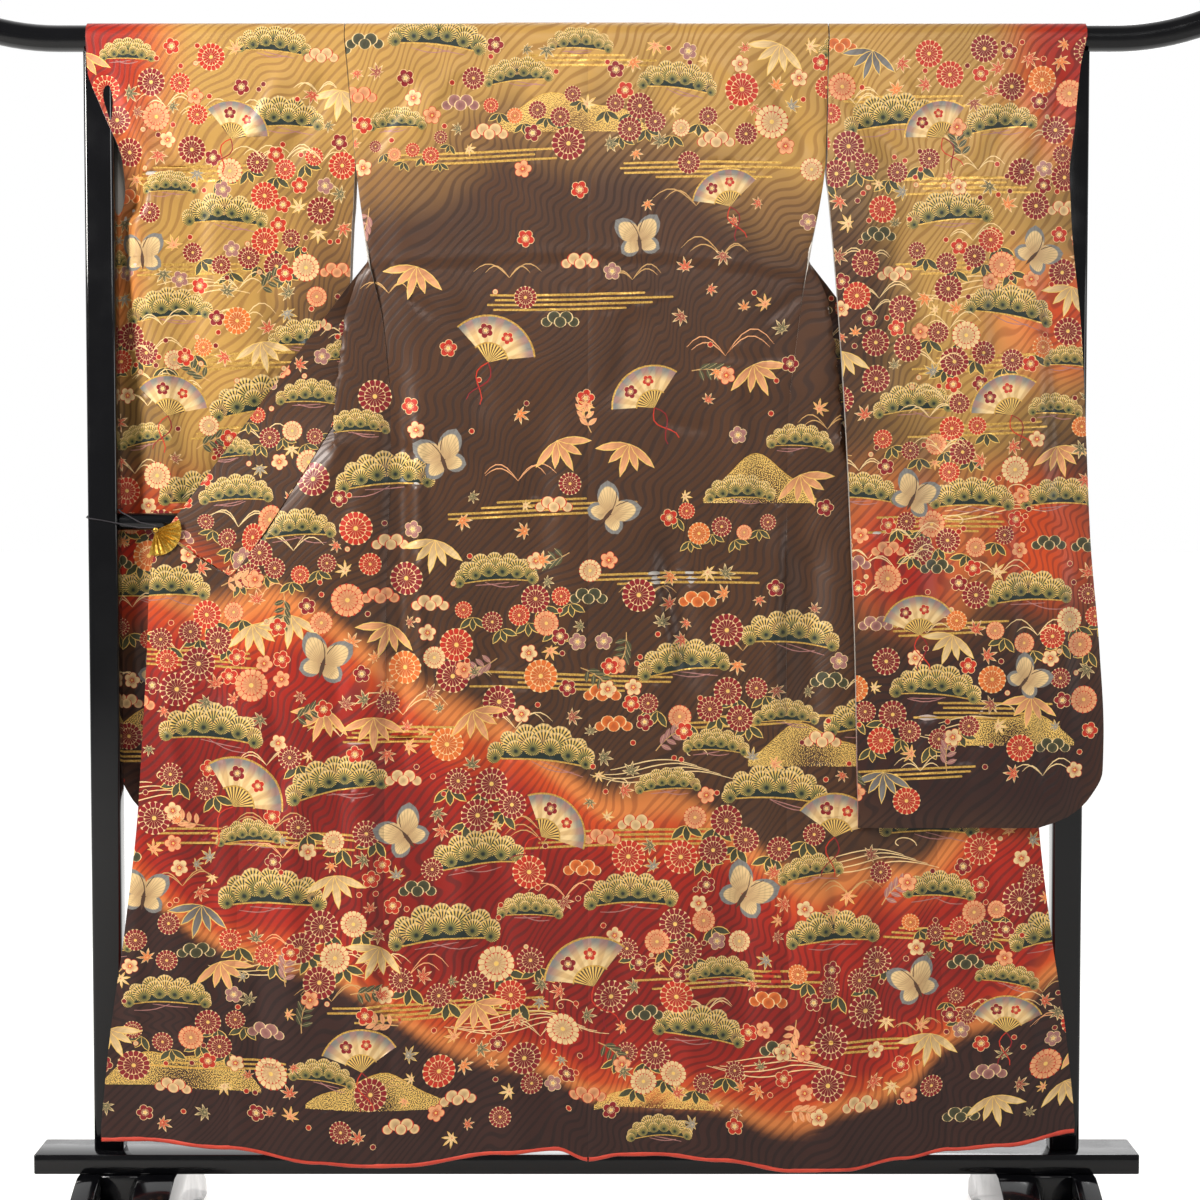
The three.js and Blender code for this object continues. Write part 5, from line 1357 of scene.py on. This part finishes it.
def lacquer_material():
    """Black lacquer: deep gloss with a faint orange peel and fine dust-dull patches."""
    s = Shader("black_lacquer", roughness=0.14, coat_weight=0.3, coat_roughness=0.05,
               specular_ior_level=0.35)
    place = s.position()
    depth = s.noise(place, 7.0, 3.0)
    colour = s.mix(depth, linear(0.012, 0.012, 0.018), linear(0.03, 0.03, 0.042))
    rough = s.step(s.noise(place, 22.0, 4.0), 0.35, 0.75, 0.10, 0.22)
    peel = s.noise(place, 190.0, 1.0)
    return s.finish(base_color=colour, roughness=rough, normal=s.bump(peel, 0.05, 0.0006))


def gilt_material():
    s = Shader("gilt_metal", metallic=1.0)
    place = s.position()
    patina = s.noise(place, 240.0, 3.0)
    colour = s.mix(s.step(patina, 0.3, 0.7), linear(0.72, 0.52, 0.18), linear(0.95, 0.78, 0.36))
    rough = s.step(patina, 0.3, 0.75, 0.38, 0.2)
    return s.finish(base_color=colour, roughness=rough, normal=s.bump(patina, 0.12, 0.0003))


def thread_material():
    s = Shader("dark_thread", roughness=0.75)
    place = s.position()
    twist = s.node("TexWave", {"Vector": place, "Scale": 260.0, "Distortion": 2.0},
                   bands_direction="DIAGONAL").outputs["Fac"]
    colour = s.mix(twist, linear(0.08, 0.07, 0.09), linear(0.20, 0.18, 0.20))
    return s.finish(base_color=colour, normal=s.bump(twist, 0.4, 0.0004))


def floor_material():
    s = Shader("studio_floor", roughness=0.7)
    place = s.position()
    tone = s.mix(s.noise(place, 3.0), (0.50, 0.50, 0.49), (0.54, 0.54, 0.53))
    depth = s.node("SeparateXYZ", {0: place}).outputs[1]
    return s.finish(base_color=tone, emission_color=tone,
                    emission_strength=s.step(depth, 0.05, 0.19, 0.0, 1.35))


# ---------- putting a piece in the scene ----------
def add_piece(name, data, slot, replaced):
    piece = bpy.data.objects.new(name, data)
    bpy.context.collection.objects.link(piece)
    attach(piece, "root")
    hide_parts(replaced)
    return piece


def shade_smooth(mesh, sharp_degrees):
    mesh.polygons.foreach_set("use_smooth", np.ones(len(mesh.polygons), bool))
    mesh.set_sharp_from_angle(angle=math.radians(sharp_degrees))
    mesh.validate()


# ---------- cloth shells ----------
def triangulate(outline, inner, shapes):
    """Triangles inside an outline, cut along every shape's edge, each with its topmost shape."""
    blocks = [outline] + shapes
    corners = [Vector(p) for block in blocks for p in block] + [Vector(p) for p in inner]
    faces = []
    start = 0
    for block in blocks:
        faces.append(list(range(start, start + len(block))))
        start += len(block)
    out = delaunay_2d_cdt(corners, [], faces, 0, 1e-4, True)
    kept = [(face, max(owners)) for face, owners in zip(out[2], out[5]) if owners and min(owners) == 0]
    flat = np.array([v[:] for v in out[0]])
    triangles = np.array([k[0] for k in kept])
    owner = np.array([k[1] for k in kept])
    used, triangles = np.unique(triangles, return_inverse=True)
    triangles = triangles.reshape(-1, 3)
    flat = flat[used]
    a, b, c = (flat[triangles[:, k]] for k in range(3))
    area = (b[:, 0] - a[:, 0]) * (c[:, 1] - a[:, 1]) - (b[:, 1] - a[:, 1]) * (c[:, 0] - a[:, 0])
    flip = area < 0
    triangles[flip] = triangles[flip][:, ::-1]
    return flat, triangles, owner


def edge_loop(triangles):
    """The vertices round the outside of a sheet of triangles, in order."""
    edges = np.concatenate([triangles[:, [0, 1]], triangles[:, [1, 2]], triangles[:, [2, 0]]])
    forward = {(int(a), int(b)) for a, b in edges}
    follow = {a: b for a, b in forward if (b, a) not in forward}
    first = next(iter(sorted(follow)))
    loop = [first]
    while follow[loop[-1]] != first:
        loop.append(follow[loop[-1]])
    return loop


GRID_STEP = 7.0
SLEEVE_INNER = 9.5


def closed_shell(surface, flat, triangles, inner):
    """A printed side with its plain side and rim: every point laid flat and in place, and the faces."""
    loop = edge_loop(triangles)
    rim = flat[loop]
    back_flat, back_triangles, _ = triangulate(rim, inner, [])
    places, normals = surface.locate(flat)
    back_places, back_normals = surface.locate(back_flat)
    points = np.concatenate([places + normals * HALF_WALL, back_places - back_normals * HALF_WALL])
    finder = {tuple(np.round(p, 4)): i for i, p in enumerate(back_flat)}
    partner = [finder[tuple(np.round(p, 4))] + len(flat) for p in rim]
    rim_faces = []
    for k, (a, d) in enumerate(zip(loop, partner)):
        n = (k + 1) % len(loop)
        rim_faces += [(loop[n], a, d), (loop[n], d, partner[n])]
    faces = np.concatenate([triangles, back_triangles[:, ::-1] + len(flat), np.array(rim_faces)])
    return np.concatenate([flat, back_flat]), points, faces


def set_attribute(mesh, name, values, domain="POINT"):
    """Colours where a row has four values, vectors where it has three."""
    kind, field = ("FLOAT_COLOR", "color") if values.shape[1] == 4 else ("FLOAT_VECTOR", "vector")
    mesh.attributes.new(name, kind, domain).data.foreach_set(field, values.ravel().astype(np.float32))


def cloth(surface, shapes, ground, materials, back_printed=False, inner=GRID_STEP):
    """A thin closed shell of cloth on its surface, printed outside and plain within."""
    coarser = 1
    outline = surface.outline(GRID_STEP * coarser)
    low, high = outline.min(axis=0) - 2, outline.max(axis=0) + 2
    near = [s for s in shapes if np.all(s[0].max(axis=0) > low) and np.all(s[0].min(axis=0) < high)]
    grid = surface.inner_points(GRID_STEP * coarser)
    printed, triangles, owner = triangulate(outline, grid, [s[0] for s in near])
    flat, points, faces = closed_shell(surface, printed, triangles, surface.inner_points(inner * coarser))
    mesh = bpy.data.meshes.new(surface.name + "_cloth")
    mesh.from_pydata((points * MM).tolist(), [], faces.tolist())
    shade = np.ones((len(flat), 4))
    shade[:, :3] = ground(flat)
    set_attribute(mesh, "ground", shade)
    set_attribute(mesh, "flat", np.concatenate([flat * MM, np.zeros((len(flat), 1))], axis=1))
    set_ink(mesh, printed, triangles, owner, near)
    for material in materials:
        mesh.materials.append(material)
    slots = np.zeros(len(faces), np.int32)
    if not back_printed:
        slots[len(triangles):] = 1
    mesh.polygons.foreach_set("material_index", slots)
    shade_smooth(mesh, 58)
    return add_piece(surface.name + "_cloth", mesh, "silk", surface.name)


def set_ink(mesh, flat, triangles, owner, near):
    """Each printed corner's ink, and its place within its motif for the shader to draw in."""
    total = len(mesh.loops)
    ink = np.zeros((total, 4), np.float32)
    figure = np.zeros((total, 3), np.float32)
    if near:
        inks = np.array([(*s[1], 1.0) for s in near])
        kinds = np.array([s[2] for s in near])
        centres = np.array([s[3] for s in near], float)
        angles = np.array([s[4] for s in near])
        reaches = np.array([s[5] for s in near])
        printed = np.nonzero(owner > 0)[0]
        which = owner[printed] - 1
        corners = flat[triangles[printed]] - centres[which][:, None]
        c, s = np.cos(angles[which])[:, None], np.sin(angles[which])[:, None]
        across = (corners[..., 0] * c + corners[..., 1] * s) / reaches[which][:, None]
        up = (corners[..., 1] * c - corners[..., 0] * s) / reaches[which][:, None]
        loops = printed[:, None] * 3 + np.arange(3)
        ink[loops] = inks[which][:, None]
        figure[loops] = np.stack([across, up, np.broadcast_to(kinds[which][:, None], across.shape)], axis=-1)
    set_attribute(mesh, "ink", ink, "CORNER")
    set_attribute(mesh, "figure", figure, "CORNER")


# ---------- hard pieces ----------
def new_piece(name, points, faces, material, slot, replaced, sharp_degrees=40):
    mesh = bpy.data.meshes.new(name)
    mesh.from_pydata([tuple(c * MM for c in p) for p in points], [], faces)
    mesh.materials.append(material)
    shade_smooth(mesh, sharp_degrees)
    add_piece(name, mesh, slot, replaced)


def skin_rings(rings):
    """Faces over rings of equal point count, with end faces."""
    count = len(rings[0])
    points = [p for ring in rings for p in ring]
    faces = []
    for i in range(len(rings) - 1):
        for j in range(count):
            k = (j + 1) % count
            faces.append((i * count + j, i * count + k, (i + 1) * count + k, (i + 1) * count + j))
    faces.append(tuple(range(count))[::-1])
    faces.append(tuple((len(rings) - 1) * count + j for j in range(count)))
    return points, faces


ROD_SIDES = 40


def round_rod(name, stations, heights, radius, material, replaced, rim=2.5):
    """A round bar along X with eased ends."""
    rings = []
    last = len(stations) - 1
    for i, (x, z) in enumerate(zip(stations, heights)):
        a, b = max(i - 1, 0), min(i + 1, last)
        tilt = math.atan2(heights[b] - heights[a], stations[b] - stations[a])
        ends = [(0, radius)]
        if i in (0, last):
            way = 1 if i == 0 else -1
            eased = [(way * rim * (1 - math.sin(t)), radius - rim * (1 - math.cos(t)))
                     for t in (0.0, 0.5, 1.0, math.pi / 2)]
            ends = eased[::-1] if i == 0 else eased
        for shift, r in ends:
            ring = []
            for k in range(ROD_SIDES):
                angle = -2 * math.pi * k / ROD_SIDES
                up = r * math.cos(angle)
                ring.append((x + shift * math.cos(tilt) - up * math.sin(tilt), r * math.sin(angle),
                             z + shift * math.sin(tilt) + up * math.cos(tilt)))
            rings.append(ring)
    new_piece(name, *skin_rings(rings), material, "black_lacquer", replaced)


def prism(name, profile, place, span, chamfer, material, replaced):
    """A profile pushed over a span, its end edges eased; place puts (a, b, along) in the frame."""
    profile = np.asarray(profile, float)
    along = np.roll(profile, -1, axis=0) - np.roll(profile, 1, axis=0)
    along /= np.linalg.norm(along, axis=1, keepdims=True)
    inward = np.stack([-along[:, 1], along[:, 0]], axis=1)
    low, high = span
    rings = []
    for inset, depth in ((chamfer, low), (chamfer * 0.35, low + chamfer * 0.3), (0, low + chamfer),
                         (0, high - chamfer), (chamfer * 0.35, high - chamfer * 0.3), (chamfer, high)):
        rings.append([place(a, b, depth) for a, b in profile + inward * inset])
    new_piece(name, *skin_rings(rings), material, "black_lacquer", replaced)


def rounded_rectangle(width, depth, radius, steps=7):
    points = []
    for cx, cy, start in ((1, 1, 0), (-1, 1, 90), (-1, -1, 180), (1, -1, 270)):
        for k in range(steps + 1):
            angle = math.radians(start + 90 * k / steps)
            points.append((cx * (width / 2 - radius) + radius * math.cos(angle),
                           cy * (depth / 2 - radius) + radius * math.sin(angle)))
    return points


def bezier(p0, p1, p2, p3, count):
    out = []
    for k in range(1, count + 1):
        t = k / count
        out.append(tuple((1 - t) ** 3 * a + 3 * t * (1 - t) ** 2 * b + 3 * t * t * (1 - t) * c + t ** 3 * d
                         for a, b, c, d in zip(p0, p1, p2, p3)))
    return out


BOARD = {"length": 1484.0, "depth": 84.0, "bottom": 103.4, "top": 130.0}
POST = {"x": 645.5, "width": 40.0, "depth": 34.0, "top": 1601.2}
FOOT = {"toe": 232.0, "pad": 42.0, "toe_height": 24.0, "arch": 46.0, "arch_reach": 120.0, "neck": 58.0}
FOOT_SPANS = {"outer": (650.0, 681.0), "inner": (550.0, 600.0), "block": (600.3, 649.7)}
MID_BAR = {"radius": 11.5, "height": 978.5, "half": 625.2}


def foot_profile():
    """A runner's outline in (depth, height): two toes, a shoulder up to the board and an arch below."""
    toe, neck, top = FOOT["toe"], FOOT["neck"], BOARD["bottom"]
    points = [(toe - FOOT["pad"], 0.0), (toe - 4, 0.0), (toe - 1.2, 1.4), (toe, 5.0),
              (toe - 3, FOOT["toe_height"])]
    points += bezier((toe - 3, FOOT["toe_height"]), (toe - 40, FOOT["toe_height"] + 22),
                     (neck + 62, top - 16),
                     (neck, top), 16)
    mirrored = [(-a, b) for a, b in points[::-1]]
    points += mirrored
    points += bezier((-toe + FOOT["pad"], 0.0), (-FOOT["arch_reach"], FOOT["arch"]),
                     (FOOT["arch_reach"], FOOT["arch"]),
                     (toe - FOOT["pad"], 0.0), 26)[:-1]
    return points


def make_rack(lacquer):
    bends = [float(x) for x in np.arange(ROD["bend_start"], ROD["half"] + 1, ROD["station"])]
    xs = [-x for x in bends[::-1]] + bends
    heights = [ROD["height"] + ROD["bend_rise"] * max(abs(x) - ROD["bend_start"], 0) ** 2 for x in xs]
    round_rod("top_rod", xs, heights, ROD["radius"], lacquer, "top_bar")
    round_rod("mid_rail", [-MID_BAR["half"], MID_BAR["half"]], [MID_BAR["height"]] * 2, MID_BAR["radius"],
              lacquer,
              "mid_bar", rim=1.0)
    board = rounded_rectangle(BOARD["length"], BOARD["depth"], 3.0, 5)
    prism("rack_board", board, lambda a, b, c: (a, b, c), (BOARD["bottom"], BOARD["top"]), 1.6, lacquer,
          "base_board")
    for name, way in SIDES.items():
        section = rounded_rectangle(POST["width"], POST["depth"], 5.0)
        prism("rack_post_" + name, section, lambda a, b, c, w=way: (w * POST["x"] + a, b, c),
              (BOARD["top"], POST["top"]), 1.0, lacquer, "post_" + name)
        for part, (low, high) in FOOT_SPANS.items():
            span = (low, high) if way > 0 else (-high, -low)
            if part == "block":
                outline = rounded_rectangle(2 * FOOT["neck"] - 16, 44.0, 2.0, 3)
                outline = [(a, b + BOARD["bottom"] - 22.3) for a, b in outline]
            else:
                outline = foot_profile()
            prism(f"rack_foot_{name}_{part}", outline, lambda a, b, c: (c, a, b), span, 1.4, lacquer,
                  f"foot_{name}_{part}")


FAN_RADII = [4.0, 7.0, 12.0, 18.0, 25.0, 31.5, 33.4, 34.0]
FAN_KNOB = [(1.2, -2.6), (2.6, -2.3), (3.4, -1.5), (3.4, 1.5), (2.6, 2.3), (1.2, 2.6)]  # radius, depth


def fan_point(way, radius, share, layer):
    """A place on one face of the pleated sheet, share of the way round it, with a bead near its rim."""
    angle = math.radians(lerp(FAN["first"], FAN["last"], share))
    wave = 1 - abs((share * FAN["pleats"] * 2) % 2 - 1) * 2
    lift = 1.15 * wave * min(radius / 20, 1.0)
    bead = 0.35 * math.exp(-((radius - 32.5) / 1.2) ** 2) * layer
    return (CENTRE_X + way * (FAN["x"] - radius * math.cos(angle)), FAN["y"] + (lift + bead) + layer,
            FAN["z"] + radius * math.sin(angle))


def make_fan(name, gilt):
    """A small gilt folding fan, pleated, with a knob at its rivet."""
    way = SIDES[name]
    top, last = len(FAN_RADII) - 1, FAN["pleats"] * 6
    points = [fan_point(way, radius, i / last, layer)
              for layer in (-0.75, 0.75) for radius in FAN_RADII for i in range(last + 1)]

    def at(layer, i, j):
        return (layer * (top + 1) + i) * (last + 1) + j
    faces = []
    for i in range(top):
        for j in range(last):
            faces.append((at(0, i, j), at(0, i, j + 1), at(0, i + 1, j + 1), at(0, i + 1, j)))
            faces.append((at(1, i, j), at(1, i + 1, j), at(1, i + 1, j + 1), at(1, i, j + 1)))
        faces.append((at(0, i, 0), at(0, i + 1, 0), at(1, i + 1, 0), at(1, i, 0)))
        faces.append((at(0, i + 1, last), at(0, i, last), at(1, i, last), at(1, i + 1, last)))
    for j in range(last):
        faces.append((at(0, 0, j + 1), at(0, 0, j), at(1, 0, j), at(1, 0, j + 1)))
        faces.append((at(0, top, j), at(0, top, j + 1), at(1, top, j + 1), at(1, top, j)))
    if way > 0:
        faces = [f[::-1] for f in faces]
    new_piece("gilt_fan_" + name, points, faces, gilt, "gilt_metal", "fan_clip_" + name, 30)
    turns = np.linspace(0, 2 * math.pi, 20, endpoint=False)
    knob = [[(CENTRE_X + way * FAN["x"] + r * math.cos(t), FAN["y"] + y, FAN["z"] + r * math.sin(t))
             for t in turns]
            for r, y in FAN_KNOB]
    new_piece("fan_rivet_" + name, *skin_rings(knob), gilt, "gilt_metal", "fan_clip_" + name)


THREAD = {"radius": 0.8, "front": 977.0, "back": 995.0, "clearance": 1.3}


def thread_path(name):
    way = SIDES[name]
    x, rx, ry = POST["x"], POST["width"] / 2 + THREAD["clearance"], POST["depth"] / 2 + THREAD["clearance"]
    low, high = THREAD["front"], THREAD["back"]
    path = [(FAN["x"] - 3, FAN["y"] + 1.6, FAN["z"] + 3), (FAN["x"] + 22, FAN["y"] + 8, FAN["z"] + 3),
            (x - rx + 3, -ry, low), (x, -ry - 0.3, lerp(low, high, 0.2)),
            (x + rx - 3, -ry, lerp(low, high, 0.35)),
            (x + rx, -ry + 3, lerp(low, high, 0.42)), (x + rx, ry - 3, lerp(low, high, 0.7)),
            (x + rx - 3, ry, lerp(low, high, 0.76)), (x - rx + 3, ry, high), (x - rx, ry - 3, high),
            (x - rx, -ry + 6, high), (x - rx - 4, -ry - 2, high - 3),
            (FAN["x"] + 20, FAN["y"] + 6, FAN["z"] + 10),
            (FAN["x"] - 3, FAN["y"] + 1.6, FAN["z"] + 6)]
    return [(way * px, py, pz) for px, py, pz in path]


def make_thread(name, material):
    path = [Vector(p) * MM for p in thread_path(name)]
    curve = bpy.data.curves.new("clip_cord_" + name, "CURVE")
    curve.dimensions = "3D"
    spline = curve.splines.new("POLY")
    spline.points.add(len(path) - 1)
    for point, place in zip(spline.points, path):
        point.co = (*place, 1.0)
    curve.bevel_depth = THREAD["radius"] * MM
    curve.bevel_resolution = 4
    curve.materials.append(material)
    piece = add_piece("clip_cord_" + name, curve, "thread", "clip_thread_" + name)
    length = sum((b - a).length for a, b in zip(path, path[1:]))
    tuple(path[0])


def make_hem(name, material):
    """The lining's rolled edge under the hem."""
    way = SIDES[name]
    rings = []
    last = HEM_ROLL["stations"] - 1
    for t in (i / last for i in range(last + 1)):
        x = CENTRE_X + way * lerp(1, float(FREE_EDGE.at(np.array(145.0))["x"]) - 1, t)
        z = float(hem_height(np.array(x))) + HEM_ROLL["radius"]
        depth = float(BACK_DEPTH.at(np.array(z))["centre"])
        y = lerp(depth, float(FRONT.at(np.array(z))["join_y"]), min(t * 1.4, 1))
        y += float(body_waves(np.array([x]), np.array([z]))[0])
        plump = HEM_ROLL["radius"] * (1 + 0.08 * math.sin(x / 9) + 0.05 * math.sin(x / 3.7))
        angles = np.linspace(0, 2 * math.pi, HEM_ROLL["sides"], endpoint=False)
        rings.append([(x, y + plump * math.cos(a) * 0.9,
                       z + plump * math.sin(a) * (HEM_ROLL["rise"] if a < math.pi else 1)) for a in angles])
    points, faces = skin_rings(rings)
    if way < 0:
        faces = [f[::-1] for f in faces]
    new_piece("hem_lining_" + name, points, faces, material, "hem_lining", "hem_roll_" + name, 60)


# ---------- stage ----------
CAMERA = {"sensor": 36.0, "lens": 80.61, "place": (0.018, -3.6, 1.072), "pitch": 86.84, "sees_to": 60.0}
# The white studio is bright behind the garment and dimmer in front of it, which keeps the lacquer black.
REAR_GLOW = 1.0
FRONT_GLOW = 0.22
FLOOR_HALF = 25.0
LIGHTS = [  # name, place, aim, size, power, colour
    ("key", (-2.5, -1.6, 2.5), (0.1, 0, 0.95), 0.8, 135, (1.0, 0.97, 0.93)),
    ("front", (0.4, -3.4, 3.1), (0, 0, 0.8), 1.2, 34, (1.0, 1.0, 1.0)),
    ("fill", (2.9, -1.9, 1.6), (0, 0, 0.8), 1.2, 20, (1.0, 1.0, 1.0)),
    ("rear", (0.6, 3.4, 2.2), (0, 0, 0.9), 2.4, 50, (1.0, 1.0, 1.0))]


def make_camera():
    data = bpy.data.cameras.new("camera")
    data.sensor_width = CAMERA["sensor"]
    data.lens = CAMERA["lens"]
    data.clip_end = CAMERA["sees_to"]
    camera = bpy.data.objects.new("camera", data)
    camera.location = CAMERA["place"]
    camera.rotation_euler = (math.radians(CAMERA["pitch"]), 0.0, 0.0)
    bpy.context.collection.objects.link(camera)
    bpy.context.scene.camera = camera


def area_light(name, place, target, size, power, colour):
    data = bpy.data.lights.new(name, "AREA")
    data.shape = "SQUARE"
    data.size = size
    data.energy = power
    data.color = colour
    light = bpy.data.objects.new(name, data)
    light.location = place
    light.rotation_euler = (Vector(target) - Vector(place)).to_track_quat("-Z", "Y").to_euler()
    bpy.context.collection.objects.link(light)


def make_stage():
    mesh = bpy.data.meshes.new("floor")
    half = FLOOR_HALF
    mesh.from_pydata([(-half, -half, 0), (half, -half, 0), (half, half, 0), (-half, half, 0)], [],
                     [(0, 1, 2, 3)])
    mesh.materials.append(floor_material())
    floor = bpy.data.objects.new("floor", mesh)
    bpy.context.collection.objects.link(floor)
    world = bpy.data.worlds.new("studio")
    world.use_nodes = True
    tree = world.node_tree
    split = tree.nodes.new("ShaderNodeSeparateXYZ")
    glow = tree.nodes.new("ShaderNodeMapRange")
    tree.links.new(tree.nodes.new("ShaderNodeTexCoord").outputs["Generated"], split.inputs[0])
    tree.links.new(split.outputs["Y"], glow.inputs["Value"])
    for socket, value in zip(("From Min", "From Max", "To Min", "To Max"),
                             (-0.1, 0.5, FRONT_GLOW, REAR_GLOW)):
        glow.inputs[socket].default_value = value
    tree.links.new(glow.outputs["Result"], tree.nodes["Background"].inputs["Strength"])
    tree.nodes["Background"].inputs["Color"].default_value = (1.0, 1.0, 1.0, 1.0)
    bpy.context.scene.world = world
    bpy.context.scene.view_settings.view_transform = "Standard"
    for row in LIGHTS:
        area_light(*row)


# ---------- the whole object ----------
SLEEVE_SEEDS = {"left": 23, "right": 37}
COLLAR_SEED = 5
BODY_PANELS = {"back": back_surface, "front": front_surface, "overlap": overlap_surface}
make_camera()
cord_material = thread_material()
for side_name in SIDES:
    make_thread(side_name, cord_material)
make_stage()
make_rack(lacquer_material())
gold = gilt_material()
piping = hem_material()
silk, lining = silk_material(), lining_material()
body_shapes = body_print().shapes
for side_name in SIDES:
    make_fan(side_name, gold)
    make_hem(side_name, piping)
    pieces = {panel: cloth(surface_of(side_name), body_shapes, body_ground, [silk, lining])
              for panel, surface_of in BODY_PANELS.items()}
    neck = collar_surface(side_name)
    neck_shapes = collar_print(neck, COLLAR_SEED).shapes
    pieces["collar"] = cloth(neck, neck_shapes, collar_ground, [silk], back_printed=True)
    sleeve_shapes = sleeve_print(side_name, SLEEVE_SEEDS[side_name])
    pieces["sleeve"] = cloth(sleeve_surface(side_name), sleeve_shapes, sleeve_ground(side_name),
                             [silk, lining],
                             inner=SLEEVE_INNER)
